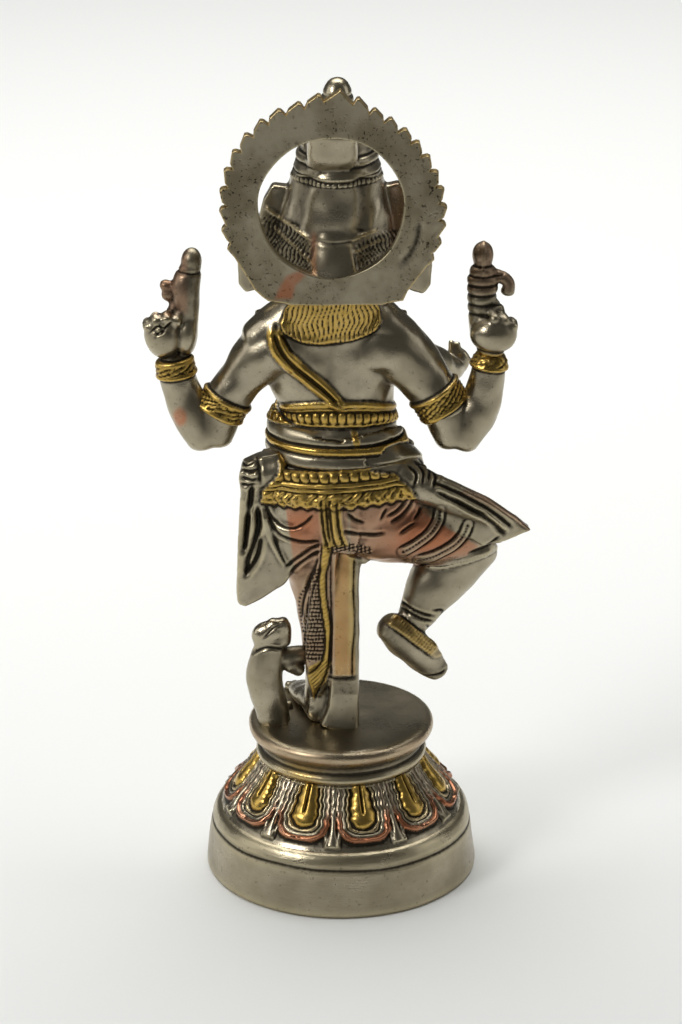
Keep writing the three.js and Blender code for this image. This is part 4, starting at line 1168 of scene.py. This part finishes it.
class GANESH_OT_ring(bpy.types.Operator):
    """The flat ring behind the head, with its saw-toothed rim"""

    bl_idname = "ganesh.ring"
    bl_label = "Toothed ring"

    def execute(self, context):
        hole_x, hole_z, hole = 2.5, 195.6, 18.9
        columns = 1100
        rim = smooth_closed(ring_outline(), 6000)
        angle = np.unwrap(np.arctan2(rim[:, 1] - hole_z, rim[:, 0] - hole_x))
        reach = np.hypot(rim[:, 0] - hole_x, rim[:, 1] - hole_z)
        turn = np.linspace(-np.pi, np.pi, columns, endpoint=False)
        order = np.argsort(np.mod(angle, 2 * np.pi))
        outer = np.interp(np.mod(turn, 2 * np.pi), np.mod(angle, 2 * np.pi)[order], reach[order], period=2 * np.pi)
        inner = hole + 0.16 * np.sin(3 * turn + 1) + 0.1 * np.sin(7 * turn)

        # Round the section: back face outwards, rim, front face inwards, wall of the hole
        share = np.concatenate([np.linspace(0.015, 0.985, 26), [0.997, 1, 1, 0.997], np.linspace(0.98, 0.02, 8),
                                [0.003, 0, 0, 0.003]])
        depth = np.concatenate([np.zeros(26), [-0.2, -0.7, -2.3, -2.8], np.full(8, -3.0), [-2.8, -2.3, -0.6, -0.2]])
        radius = inner + (outer - inner) * share[:, None]
        x, z = hole_x + radius * np.cos(turn), hole_z + radius * np.sin(turn)
        tilt = 15.45 + depth[:, None] + 0.1 * np.sin(0.21 * x + 0.4) + 0.08 * np.sin(0.17 * z)
        points = np.stack([x, tilt, z], -1).reshape(-1, 3)
        rows = len(share)
        faces = np.vstack([grid_faces(rows, columns), grid_faces(2, columns)])
        last = faces[-columns:]
        last[:, [0, 1]] += (rows - 1) * columns
        last[:, [2, 3]] -= columns
        points, faces = outward(points, faces)
        work = Chasing(points, faces)
        off, _, taper = work.distance(RING_FURROW[0])
        furrow = np.exp(-((off / 1.1) ** 2)) * taper * work.facing
        work.rise -= 0.35 * furrow
        work.dirt_and_shade = np.maximum(work.dirt_and_shade, 0.35 * furrow)
        work.copper = np.maximum(work.copper, 0.85 * work.inside(RING_RUST[0], 1.6))
        rim_share = np.tile(share[:, None], (1, columns)).ravel()
        # Brass colour along the ring's outer edge stands for a painted highlight there.
        work.brass = np.maximum(work.brass, 0.5 * np.clip((rim_share - 0.94) / 0.05, 0, 1))
        in_front = np.clip(-work.normals[:, 1] * 2, 0, 1)
        flame = half_round(saw(np.tile(turn, rows) * 24.0, 4.0), 2.0)
        work.rise += 0.5 * in_front * flame * between(rim_share, 0.45, 0.95, 0.1)
        work.rise += 0.6 * in_front * half_round((rim_share - 0.25) * 10, 1.2)
        finish_piece("toothed_ring", work, worn_cast("pitted_silvered_brass", 0.46, 1.0, pits=0.9), softer=0)
        return {"FINISHED"}


# Outlines of the two hanging cloths in X and Z
KERCHIEF = np.array([
    (17, 124.4), (21.6, 123.4), (26.4, 121.2), (27.4, 117.5), (27.0, 112.5), (27.0, 104.6), (27.8, 92.9),
    (28.4, 84), (28, 80.6), (26, 79.8), (21.5, 82.2), (15.5, 86), (12.6, 91), (13.4, 98), (15, 110),
])
SASH = np.array([
    (-18, 116), (-22, 107), (-30, 101.4), (-38, 96.6), (-44.1, 98), (-48.4, 99.9), (-51.2, 101.1),
    (-46.4, 104.6), (-38.0, 109.8), (-28, 114),
])


def in_view(outline, depth):
    """Where the sight lines to an outline that stands depth millimetres behind cross the plane Y = 0."""
    at_depth = np.full(len(outline), depth)
    return np.stack(seen(np.stack([outline[:, 0], at_depth, outline[:, 1]], -1)), -1)


def kerchief():
    """The cloth that hangs at the left hip, as a leaf with its knot above."""
    return [
        leaf(KERCHIEF, 8.2, 5.6, bow=1.2),
        limb([[17, 5, 118.6, 5.4, 5], [22.2, 5.6, 117.4, 4.4, 4.4], [24.8, 5.4, 114.8, 2.4, 3.4]], around=32),
    ]


def right_sash():
    """The cloth that flies out over the raised thigh to a point."""
    return [
        limb([[-15.5, 6.5, 117.5, 5.6, 4.6], [-23, 6.3, 114.2, 4.6, 4.6], [-30.5, 5.6, 110.6, 4.2, 3.6],
              [-37.5, 5, 107.2, 3.8, 3.0], [-43.5, 4.5, 104.0, 3.0, 2.4], [-48.4, 4.2, 101.8, 1.5, 1.6],
              [-51.0, 4.1, 101.0, 0.5, 0.8]], depth=BACKWARD, around=32),
        leaf(SASH, 5.6, 4.4, bow=0.8),
    ]


def leg_shells():
    return [
        limb([(x, y, z, a, b) for x, y, z, a, b in TORSO[TORSO[:, 2] < 118]] + [[-0.1, 0.2, HIPS_TOP, 21.2, 13.4]],
             around=56, along=8, dome=0.05),
        limb([[10, 2, 104, 11.4, 11], [9.7, 1, 96, 8.8, 9.2], [8.8, -0.4, 88.5, 6.5, 7.3], [8, -0.6, 81.5, 5.3, 6.1],
              [7, 0, 74, 4.7, 5.4], [6.4, 0.8, 66, 4.3, 4.9], [6, 1.2, 58, 3.8, 4.3], [6, 1.6, 48, 4.2, 4.8]],
             around=36),
        limb([[6, 4.4, 46.8, 3.6, 3.2], [7.4, -2, 47.4, 4.2, 3.6], [9.4, -9, 46.4, 4.7, 2.8], [11, -15, 45.6, 4, 2.0]],
             depth=UPWARD),
        limb([[-8, 2, 104, 12, 11.4], [-16, 0, 101.6, 11.4, 11], [-24, -3, 99.6, 10.8, 10.6], [-31, -6, 97, 9.9, 9.9],
              [-36.2, -8, 93.8, 8.6, 8.8]], around=40),
        limb([[-35.4, -8, 93, 8.8, 8.6], [-30, -6.5, 86.6, 8.7, 8.3], [-25.7, -4.8, 81.2, 7.8, 7.6],
              [-22.6, -3.2, 76.4, 6.2, 6], [-20, -2, 71.8, 4.8, 4.8]], around=36),
        limb([[-12.8, 1.5, 71.6, 4.2, 3.6], [-16.6, 0.5, 68, 5.4, 4.2], [-20.6, -0.5, 63.4, 5, 4],
              [-24.4, -1.5, 58.9, 4.3, 3.2], [-27.2, -2, 56, 3.1, 2.3]], around=32),
        limb([[-2, 5, 95.4, 6.4, 4.2], [-1.1, 5, 91, 4.1, 3.5], [-1, 4.8, 70, 4, 3.3], [-0.8, 4.8, 52, 4.1, 3.6],
              [0.4, 4.8, 43.6, 5.6, 5]], square=5, dome=0.1, around=40),
        limb([[-1.2, 13.4, 112, 4.0, 2], [-1.3, 13.2, 104, 4.0, 2.2], [-0.4, 11, 98.6, 3.8, 2.4]], square=3, dome=0.3),
        limb([[2.4, 11.8, 103, 2.6, 2], [4.2, 9.4, 93, 3, 1.8], [5, 7, 84, 3.4, 1.8], [5.5, 6.2, 74, 3.8, 1.8],
              [6, 5.9, 64, 3.9, 1.7], [6.3, 5.7, 57, 3, 1.5], [6.5, 5.6, 52.8, 1.0, 1.0]], square=3),
        limb([[0.6, -11.5, 110, 5.4, 2.2], [1.4, -9.6, 98, 5, 2.4], [2.4, -7.4, 86, 4.6, 2]], square=3, dome=0.3),
        *[blob([11 + k * 1.9 - 3.8, -17.4 + 0.5 * abs(k - 2), 45.3], [1.1, 1.9, 1.1]) for k in range(5)],
        *kerchief(),
        *right_sash(),
    ]


def hip_girdle(work):
    """Square beads, two rolls and a frieze of leaves round the hips, leaning down to the left."""
    turn, arc, near = round_body(work.points)
    z = work.points[:, 2] + 1.3 * np.sin(turn)
    on_hips = (near < 1.13) * (np.abs(work.normals[:, 2]) < 0.85) * (work.points[:, 2] > 104)
    hem = 111.7 + 0.35 * np.cos(arc * 2 * np.pi / 3.1)
    belt = between(z - hem, 0.0, 30.0, 0.35) * on_hips * (np.abs(turn) < 1.35)
    bead = np.clip(1 - np.abs(saw(arc, 2.15) / 0.95) ** 3 - np.abs((z - 119.9) / 1.15) ** 3, 0, None) ** 0.5
    rolls = half_round(z - 117.7, 0.62) + half_round(z - 116.5, 0.6)
    cross = np.abs(np.sin(arc * np.pi / 2.3 + 0.9 * np.sin(z * 1.3)) * np.sin((z + arc) * 1.25))
    petals = half_round(saw(arc + 0.7 * np.sin(z * 1.7), 1.9), 0.9) * half_round(z - 113.8, 2.2)
    frieze = between(z, 111.9, 115.7, 0.4) * (0.5 * petals + 0.55 * cross)
    work.rise += belt * (0.9 + 0.6 * bead + 0.5 * rolls + 0.8 * frieze - 0.25)
    work.brass = np.maximum(work.brass, belt * 0.97)
    gap = (1 - np.clip(1.6 * bead, 0, 1)) * between(z, 118.5, 121.2, 0.2)
    gap = np.maximum(gap, np.exp(-(((z - 117.1) / 0.22) ** 2)))
    gap = np.maximum(gap, np.exp(-(((z - 115.7) / 0.25) ** 2)))
    gap = np.maximum(gap, between(z, 112.0, 115.4, 0.4) * np.clip(1 - 2.4 * (0.5 * petals + 0.55 * cross), 0, 1))
    work.dirt_and_shade = np.maximum(work.dirt_and_shade, 0.8 * belt * gap)
    under = np.exp(-(((z - hem + 0.4) / 0.45) ** 2)) * on_hips * (np.abs(turn) < 1.4)
    work.dirt_and_shade = np.maximum(work.dirt_and_shade, 0.85 * under)


def draped_cloth(work):
    """Copper washed cloth over the hips and thighs, with cut folds, dotted hems and bands, and lines at knee and ankle.
    """
    x, y, z = work.points.T
    over_standing = soft_step(z - 60.0, 8.0) * between(x, -2.0, 24.0, 1.0)
    over_raised = soft_step(work.z - np.interp(work.x, [-42, -34, -27, -20, -10, 0],
                                               [97.5, 91.5, 89.2, 88.5, 90.0, 92.0]), 1.0)
    cloth = np.where(x > -2.5, over_standing, over_raised * (z > 84.5)) * (z < 113.5)
    cloth = cloth * (1 - work.inside(in_view(SASH, 6.0), 1.0)) * (1 - work.inside(in_view(KERCHIEF, 8.0), 0.8))
    cloth = cloth * (1 - np.clip(work.brass, 0, 1))
    strength = 0.35 + 0.6 * np.exp(-(((work.x - 12) / 8) ** 2) - ((work.z - 101) / 9) ** 2)
    strength += 0.65 * np.exp(-(((work.x + 23) / 14) ** 2) - ((work.z - 98) / 9) ** 2)
    work.copper = np.maximum(work.copper, cloth * np.clip(strength, 0.0, 0.95))
    work.cut(BUTTOCK_FOLDS, 0.42, 0.5, 0.95)
    work.cut(LEG_HEMS, 0.42, 0.45, 0.85)
    work.dots(LEG_DOTS, 1.1, 0.34, 0.4)
    for band in THIGH_BAND_HIGH + THIGH_BAND_LOW:
        off, _, taper = work.distance(band)
        raised = between(off, -9.0, 1.25, 0.4) * taper * work.facing
        work.rise += 0.4 * raised
        edges = np.exp(-(((off - 1.5) / 0.35) ** 2)) * taper * work.facing
        work.rise -= 0.35 * edges
        work.dirt_and_shade = np.maximum(work.dirt_and_shade, 0.9 * edges)
        work.copper *= 1 - 0.6 * raised
    work.dots(THIGH_BAND_HIGH, 1.0, 0.36, 0.45)
    work.dots(THIGH_BAND_LOW, 0.9, 0.34, 0.45)
    work.cord(KNEE_HEM, 0.95, 0.65, twist=0.8)
    work.cut(KNEE_LINE, 0.4, 0.4, 0.8)
    work.cut(ANKLETS, 0.45, 0.5, 0.9)
    work.cut(ANKLE_TIE, 0.4, 0.4, 0.8)


def pleats_and_tail(work):
    """The brass centre pleats and the long brass edged end that hangs beside the post."""
    on = work.inside(PLEAT_EDGES[0] + PLEAT_EDGES[1][::-1], 0.6)
    work.rise += 0.4 * on
    work.brass = np.maximum(work.brass, on * 0.9)
    work.copper *= 1 - on
    work.cut(PLEATS, 0.42, 0.65, 0.95)
    strip = work.inside(TAIL_RIGHT[0] + TAIL_MIDDLE[0][::-1], 0.5)
    point = work.inside([(9.0, 58.4), (4.6, 61.0), (2.6, 59.6), (4.2, 54.0), (6.9, 50.2), (8.6, 54.0)], 0.6)
    edge = np.maximum(strip, point)
    work.rise += 0.35 * edge
    work.brass = np.maximum(work.brass, edge * 0.97)
    work.copper *= 1 - edge
    hatch = saw(work.z + 1.1 * work.x, 1.25)
    work.rise -= 0.25 * point * np.exp(-((hatch / 0.24) ** 2))
    work.dirt_and_shade = np.maximum(work.dirt_and_shade, 0.75 * point * np.exp(-((hatch / 0.24) ** 2)))
    mesh_side = work.inside(TAIL_MIDDLE[0] + TAIL_LEFT[0][::-1], 0.5) * (work.z > 60) * (work.z < 88)
    knots = half_round(np.hypot(saw(work.x + 0.4 * np.sin(work.z), 0.95), saw(work.z, 1.15)), 0.45)
    work.rise += mesh_side * (0.5 * knots - 0.2)
    work.dirt_and_shade = np.maximum(work.dirt_and_shade, mesh_side * 0.85 * (1 - knots))
    fringe = np.exp(-((saw(work.z + 0.6 * work.x, 1.3) / 0.22) ** 2)) * strip * (work.z > 70)
    work.dirt_and_shade = np.maximum(work.dirt_and_shade, 0.45 * fringe)
    work.cut([TAIL_RIGHT[0]], 0.4, 0.35, 0.85)
    work.cut([TAIL_MIDDLE[0]], 0.35, 0.4, 0.85)
    sparkle = half_round(np.hypot(saw(work.x, 1.1), saw(work.z + 0.3 * work.x, 1.0)), 0.45)
    hem = between(work.distance(CROTCH_HEM[0])[0], -1, 1.1, 0.3) * work.facing
    work.rise += hem * (0.45 * sparkle - 0.1)
    work.dirt_and_shade = np.maximum(work.dirt_and_shade, hem * 0.9 * (1 - sparkle))


class GANESH_OT_legs(bpy.types.Operator):
    """The hips with girdle and draped cloth, both legs and feet, the sashes and the support post"""

    bl_idname = "ganesh.legs"
    bl_label = "Hips, legs and cloth"

    def execute(self, context):
        points, faces = fuse(leg_shells(), fine(0.413))
        work = Chasing(relaxed(points, faces, 5), faces)
        work.hand_finish(0.08)
        hip_girdle(work)
        draped_cloth(work)
        work.cut(KERCHIEF_FOLDS, 0.7, 1.3, 0.95)
        work.cord(KERCHIEF_RIDGES, 1.0, 0.5)
        work.cut(RIGHT_SASH_FOLDS, 0.6, 0.7, 0.8)
        work.cord(RIGHT_SASH_RIDGES, 1.1, 0.45)
        work.cut(KNOT_CUTS + KNOT_RIGHT, 0.5, 0.6, 0.9)
        pleats_and_tail(work)

        x, y, z = work.points.T
        on_post = work.inside([(1.9, 95), (2.2, 60), (2.2, 50), (-6.4, 50), (-5.8, 95)], 0.4) * (y > 4.5) * (z < 96)
        brassy = on_post * between(work.x, -3.9, 1.7, 0.6) * soft_step(work.z - 55.8, 0.8)
        work.brass = np.maximum(work.brass, 0.6 * brassy)
        work.copper = np.maximum(work.copper, 0.35 * brassy * soft_step(62 - work.z, 8.0))
        # The post is painted darker below 55.4 mm, and painted shade darkens its right-hand bevel, at x below -3.8.
        work.dirt_and_shade = np.maximum(work.dirt_and_shade, 0.35 * on_post * soft_step(55.4 - work.z, 0.6))
        work.dirt_and_shade = np.maximum(work.dirt_and_shade, 0.3 * on_post * soft_step(-3.8 - work.x, 0.6))
        work.cut(POST_EDGES, 0.4, 0.3, 0.6)
        work.cut(POST_BASE, 0.4, 0.35, 0.6)

        off, along, taper = work.distance(FOOT_BAND[0])
        strap = between(off, -9, 1.9, 0.4) * work.facing * taper
        weave = half_round(saw(along, 0.9), 0.45) * (0.5 + 0.5 * half_round(saw(off, 0.9), 0.45))
        work.rise += strap * (0.35 + 0.35 * weave)
        work.brass = np.maximum(work.brass, 0.75 * strap)
        work.dirt_and_shade = np.maximum(work.dirt_and_shade, strap * 0.7 * (1 - weave))
        rim = np.exp(-(((off - 2.2) / 0.35) ** 2)) * work.facing * taper
        work.dirt_and_shade = np.maximum(work.dirt_and_shade, 0.8 * rim)
        # Painted shade: a broad dark band along the underside of the raised foot.
        sole_shade = np.exp(-((work.distance(SOLE[0])[0] / 2.2) ** 2)) * work.facing
        work.dirt_and_shade = np.maximum(work.dirt_and_shade, 0.45 * sole_shade)
        work.cut(TOES, 0.4, 0.5, 0.9)
        front = np.clip(-work.normals[:, 1] * 3, 0, 1)
        draped = front * between(z, 62, 112, 3) * (x > -34) * (x < 22)
        work.copper = np.maximum(work.copper, 0.6 * draped)
        fold = saw(z + 0.25 * x + 2.0 * np.sin(0.16 * x), 5.2)
        work.rise -= 0.35 * draped * np.exp(-((fold / 0.45) ** 2))
        finish_piece("hips_and_legs", work, worn_cast("satin_copper_washed_brass", 0.36, 0.5))
        return {"FINISHED"}


class GANESH_OT_mouse(bpy.types.Operator):
    """The mouse that sits up at the rim of the disc, with a forepaw on the figure's leg"""

    bl_idname = "ganesh.mouse"
    bl_label = "Mouse"

    def execute(self, context):
        shells = [
            limb([[18.4, 3.2, 43.0, 4.6, 4.6], [19.2, 3.6, 48, 4.6, 4.6], [21.0, 4, 56, 5.0, 4.6],
                  [20.4, 4, 62.5, 4.8, 4.1], [18.8, 4, 67.6, 3.8, 3.4]], around=32),
            limb([[16.6, 3.6, 68.6, 3.0, 2.6], [18.4, 4.2, 70.4, 3.9, 3.0], [21.4, 4.4, 69.4, 3.6, 2.8],
                  [22.4, 4.4, 67.2, 1.6, 1.8]], around=24),
            limb([[16.4, 3.8, 68, 2.8, 2.6], [15.8, 4.2, 72.2, 2.4, 2.4], [15.8, 4.2, 74.2, 1.6, 2.2]], around=24),
            limb([[18.4, 4.2, 71.4, 3.0, 2.4], [17.6, 4.4, 73.4, 2.6, 2.2]], around=24),
            limb([[18.6, 3.4, 62.4, 2.8, 2.8], [14.4, 2.8, 62.6, 2.9, 2.9], [10.4, 1.8, 63.0, 2.6, 2.6]], around=24),
            limb([[13.8, 4.2, 61.0, 2.4, 2.2], [11.4, 3.4, 59.0, 1.9, 1.9]], around=20),
            limb([[22.4, 1.0, 43.8, 2.2, 1.4], [18.0, -3.0, 44.0, 2.4, 1.4], [14.0, -4.4, 44.2, 1.8, 1.2]], around=20),
        ]
        points, faces = fuse(shells, fine(0.34))
        work = Chasing(relaxed(points, faces, 7), faces)
        work.hand_finish(0.08)
        shade = work.facing * soft_step(17.0 - work.x, 6.0) * (work.points[:, 2] < 66)
        work.dirt_and_shade = np.maximum(work.dirt_and_shade, 0.35 * shade)
        work.cut([[(24.4, 62.6), (20.4, 64.2), (15.6, 63.6)]], 0.5, 0.4, 0.6)
        work.cut([[(21.4, 66.8), (18.4, 70.2), (16.4, 71.0)]], 0.4, 0.3, 0.5)
        finish_piece("mouse", work, worn_cast("satin_silvered_brass_mouse", 0.34, 0.7))
        return {"FINISHED"}


# The pedestal


def lotus_relief(turn, down, radius):
    """Height, brass, copper and dirt of the lotus bell at a turn, a distance down its slope and a radius.

    Round each petal's drop shaped boss run two thin ridges and one square lip, at growing distances
    from the boss: beside it the distance to its side, below it the root of the summed powers of the two
    distances. A ridge in the gap between two petals widens to a bulb at the foot.
    """
    pitch = 2 * np.pi / bpy.context.scene.ganesh_sizes.petals
    place = turn - 0.038 * np.sin(turn) - np.radians(20.5)
    index = np.floor(place / pitch + 0.5)
    off = (place - index * pitch) * radius
    half_pitch = pitch * radius / 2
    side = 1.75 + 0.16 * np.clip(down, 0, 9.5)
    below = np.clip(down - 9.5, 0, None)
    wander = 0.16 * np.sin(2.3 * down + 5.1 * index) + 0.12 * np.sin(1.1 * down + 2.0 * index)
    across = np.abs(off + wander)
    power = 2.0 + 1.4 * np.clip((np.hypot(across, below) - 3.6) / 2.0, 0, 1)
    beyond = np.where(below > 0, (across**power + below**power) ** (1 / power), across) - side
    drop = half_round(np.clip(beyond + side, 0, None), side + 0.05)
    slit = np.exp(-((off / 0.34) ** 2)) * between(down, 0.5, 8.6, 1.6)
    ridge_one = half_round(beyond - 0.95, 0.42)
    ridge_two = half_round(beyond - 1.95, 0.45)
    notch = 1 - 0.4 * np.exp(-(((off - 0.6) / 0.8) ** 2)) * soft_step(down - 15.0, 1.0)
    lip = half_round(beyond - 3.2, 0.85) * notch
    lip_height = 0.75 + 0.75 * np.clip(down / 16, 0, 1) ** 2
    gap = half_pitch - np.abs(off)
    stem = half_round(gap, 0.75 + 1.2 * np.clip((down - 11) / 6, 0, 1) ** 2) * (beyond > 3.9)
    side_stem = half_round(gap - 1.75, 0.55) * np.clip((down - 8) / 5, 0, 1) * (beyond > 4.0)
    live = between(down, 0.6, 17.9, 0.7)
    height = live * (1.55 * drop * (beyond < 0.1) - 0.9 * slit * (beyond < 0) + 0.7 * ridge_one + 0.75 * ridge_two
                     + lip_height * lip + 1.0 * stem + 0.6 * side_stem)
    brass = live * np.clip((beyond < 0.15) * 1.0 + 0.35 * ridge_one, 0, 1)
    copper = live * (lip > 0.15) * np.clip((down - 7.0) / 4.0, 0.12, 1.0) * 0.95
    covered = np.clip((beyond < 0.05) * drop * 3 + 2 * ridge_one + 2 * ridge_two + 2 * lip + 2 * stem + side_stem, 0, 1)
    dirt_and_shade = live * np.maximum(0.72 * (1 - covered), 0.8 * slit)
    return height, brass, copper, dirt_and_shade


def smoothed_profile(corners, rows):
    """Evenly spaced points along the straight lines between the corners."""
    line = np.array(corners, float)
    travelled = np.concatenate([[0], np.cumsum(np.linalg.norm(np.diff(line, axis=0), axis=1))])
    place = np.linspace(0, travelled[-1], rows)
    return np.stack([np.interp(place, travelled, line[:, k]) for k in (0, 1)], -1), place


class GANESH_OT_pedestal(bpy.types.Operator):
    """The plain foot band with its step, the lotus bell, and the collar and disc above it"""

    bl_idname = "ganesh.pedestal"
    bl_label = "Lotus pedestal"

    def execute(self, context):
        scale = bpy.context.scene.ganesh_sizes.base_radius / (BASE_RADIUS * MM)
        columns = 1100
        finish = worn_cast("satin_silvered_brass_lotus", 0.34, 0.5)
        brushed = worn_cast("brushed_silvered_brass", 0.36, 0.55, brushed=0.5, brush_stretch=(1.0, 1.0, 9.0))
        slope, down = smoothed_profile(
            [(22.2, 33.2), (22.6, 31.8), (24.4, 29.2), (27, 25.8), (29.8, 22.6), (32.3, 19.6), (33.9, 17.4)], 68
        )
        turn = np.linspace(0, 2 * np.pi, columns, endpoint=False)[None, :]
        radius, height = slope[:, 0][:, None], slope[:, 1][:, None]
        up, brass, copper, dirt_and_shade = lotus_relief(np.mod(turn + np.pi, 2 * np.pi) - np.pi, down[:, None] + 0 * turn, radius)
        lean = np.array([0.79, 0.61])
        out = radius + up * lean[0] - 0.25
        grid = np.stack([out * np.sin(turn), out * np.cos(turn), height + up * lean[1] + 0 * turn], -1)
        points, faces = closed_tube(grid * scale, (0, 0, 33.4), (0, 0, 16.4))
        work = Chasing(points, faces)
        work.hand_finish(0.05)
        for share, values in (("brass", brass), ("copper", copper), ("dirt_and_shade", dirt_and_shade)):
            getattr(work, share)[: values.size] = values.ravel()
        finish_piece("lotus_bell", work, finish)

        rim = [(5, 0), (30, 0), (37.2, 0.0), (37.45, 0.25), (37.5, 0.7), (36.05, 13.1), (35.75, 13.5), (35.35, 13.62),
               (35.35, 13.78), (35.8, 14.0), (35.9, 14.4), (35.0, 16.6), (34.6, 17.3), (33.8, 17.9), (31.5, 18.4),
               (26, 18.4), (5, 18.4)]
        slope, _ = smoothed_profile(rim, 90)
        around = np.linspace(0, 2 * np.pi, 300, endpoint=False)[None, :]
        radius, height = slope[:, 0][:, None], slope[:, 1][:, None]
        sway = 0.3 * np.sin(2 * around + 0.7) + 0.16 * np.sin(5 * around) + 0.08 * np.sin(11 * around + 2)
        height = height + sway * np.exp(-(((height - 13.7) / 2.2) ** 2))
        out = radius + 0.08 * np.sin(3 * around + height * 0.4) + 0.05 * np.sin(9 * around)
        grid = np.stack([out * np.sin(around), out * np.cos(around), height + 0 * around], -1)
        points, faces = closed_tube(grid * scale, (0, 0, 0), (0, 0, 18.4))
        work = Chasing(points, faces)
        seam_at = np.append((slope[:, 1][:, None] - 13.7 + 0 * around).ravel(), [9.0, 9.0])
        seam = np.exp(-((seam_at / 0.28) ** 2))
        work.dirt_and_shade = np.maximum(work.dirt_and_shade, 0.85 * seam)
        finish_piece("foot_band", work, brushed)

        rim = [(3, 32), (21.4, 32), (22.3, 32.8), (22.9, 33.3), (23.5, 34.0), (23.6, 34.9), (23.2, 35.6), (22.5, 36.0),
               (22.3, 36.35), (22.6, 36.8), (23.0, 38.2), (24.2, 39.4), (25.2, 40.5), (25.6, 41.6), (25.45, 42.6),
               (24.9, 43.3), (24.0, 43.75), (22.6, 43.95), (18, 44.0), (10, 43.95), (3, 44)]
        slope, _ = smoothed_profile(smooth_path(rim, 160), 100)
        around = np.linspace(0, 2 * np.pi, 260, endpoint=False)[None, :]
        radius, height = slope[:, 0][:, None], slope[:, 1][:, None]
        out = radius + 0.1 * np.sin(2 * around + 1) + 0.06 * np.sin(5 * around + height)
        height = height + 0.06 * np.sin(around * 3 + radius * 0.3)
        grid = np.stack([out * np.sin(around), out * np.cos(around), height + 0 * around], -1)
        points, faces = closed_tube(grid * scale, (0, 0, 32), (0, 0, 44))
        work = Chasing(points, faces)
        low = work.points[:, 2]
        patch = np.exp(-(((work.x - 11) / 5.5) ** 2)) * between(low, 32.5, 38.5, 1.0) * work.facing
        work.brass = np.maximum(work.brass, 0.75 * patch)
        work.copper = np.maximum(work.copper, 0.25 * between(low, 39.5, 43.4, 1.0) * work.facing)
        groove = np.exp(-(((low - 36.3) / 0.35) ** 2)) * (np.hypot(work.points[:, 0], work.points[:, 1]) > 20)
        work.dirt_and_shade = np.maximum(work.dirt_and_shade, 0.8 * groove)
        finish_piece("collar_and_disc", work, brushed)
        return {"FINISHED"}


# The stage


def softbox(name, place, aim, width, height, watts, warmth=(1.0, 1.0, 1.0)):
    """A flat lamp of that size and power, turned to face the point it is aimed at."""
    lamp = bpy.data.lights.new(name, "AREA")
    lamp.shape = "RECTANGLE"
    lamp.size = width
    lamp.size_y = height
    lamp.energy = watts
    lamp.color = warmth
    holder = bpy.data.objects.new(name, lamp)
    holder.location = place
    holder.rotation_euler = (Vector(aim) - Vector(place)).to_track_quat("-Z", "Y").to_euler()
    holder.visible_camera = False
    bpy.context.collection.objects.link(holder)
    return holder


class GANESH_OT_stage(bpy.types.Operator):
    """A pale paper floor, soft studio lamps and the camera at the photograph's height and angle"""

    bl_idname = "ganesh.stage"
    bl_label = "Floor, light and camera"

    def execute(self, context):
        scene = context.scene
        reach = 3.0
        corners = np.array([(-reach, -reach, 0), (reach, -reach, 0), (reach, reach, 0), (-reach, reach, 0)])
        mesh = mesh_of("floor", corners, np.array([[0, 1, 2, 3]]))
        paper = bpy.data.materials.new("matt_white_paper")
        paper.use_nodes = True
        tree = paper.node_tree
        tree.nodes.clear()
        shader = add(tree, "ShaderNodeBsdfPrincipled", Base_Color=tuple(scene.ganesh_metals.ground), Roughness=0.9)
        add(tree, "ShaderNodeOutputMaterial", Surface=shader.outputs[0])
        mesh.materials.append(paper)
        floor = bpy.data.objects.new("floor", mesh)
        bpy.context.collection.objects.link(floor)

        middle = (0.0, 0.0, 0.11)
        pool = softbox("overhead_bank", (0.0, -0.55, 1.3), (0.0, -0.5, 0.0), 1.6, 1.1, 9.0)
        pool.data.spread = np.radians(100.0)
        softbox("key_softbox", (0.8, 0.62, 0.85), middle, 0.35, 0.35, 5.0)
        softbox("left_wall", (1.5, 0.1, 0.6), middle, 0.7, 1.0, 3.0)
        softbox("right_wall", (-1.5, 0.1, 0.6), middle, 0.7, 1.0, 2.0)
        world = bpy.data.worlds.new("studio")
        world.use_nodes = True
        tree = world.node_tree
        tree.nodes.clear()
        sky = add(tree, "ShaderNodeBackground", Color=linear("#F4F3EF"), Strength=0.1)
        add(tree, "ShaderNodeOutputWorld", Surface=sky.outputs[0])
        scene.world = world
        scene.view_settings.view_transform = "Standard"

        lens = bpy.data.cameras.new("camera")
        lens.lens = CAMERA_LENS
        lens.sensor_width = 36.0
        camera = bpy.data.objects.new("camera", lens)
        camera.location = EYE * MM
        camera.rotation_euler = np.radians([90.0 - CAMERA_PITCH, 0.0, 180.0])
        bpy.context.collection.objects.link(camera)
        scene.camera = camera
        return {"FINISHED"}


STEPS = (
    GANESH_OT_torso,
    GANESH_OT_forearms,
    GANESH_OT_head,
    GANESH_OT_ring,
    GANESH_OT_legs,
    GANESH_OT_mouse,
    GANESH_OT_pedestal,
    GANESH_OT_stage,
)


class GANESH_PT_panel(bpy.types.Panel):
    """The metals, the sizes and one button for each step"""

    bl_idname = "GANESH_PT_panel"
    bl_label = "Dancing Ganesh"
    bl_space_type = "VIEW_3D"
    bl_region_type = "UI"
    bl_category = "Ganesh"

    def draw(self, context):
        for group in (context.scene.ganesh_metals, context.scene.ganesh_sizes):
            for name in group.__annotations__:
                self.layout.prop(group, name)
        for step in STEPS:
            self.layout.operator(step.bl_idname)


CLASSES = (GaneshMetals, GaneshSizes, *STEPS, GANESH_PT_panel)


def register():
    for kind in CLASSES:
        bpy.utils.register_class(kind)
    bpy.types.Scene.ganesh_metals = PointerProperty(type=GaneshMetals)
    bpy.types.Scene.ganesh_sizes = PointerProperty(type=GaneshSizes)


def unregister():
    del bpy.types.Scene.ganesh_sizes
    del bpy.types.Scene.ganesh_metals
    for kind in reversed(CLASSES):
        bpy.utils.unregister_class(kind)


def main():
    register()
    for step in STEPS:
        group, name = step.bl_idname.split(".")
        getattr(getattr(bpy.ops, group), name)()


if __name__ == "__main__":
    main()
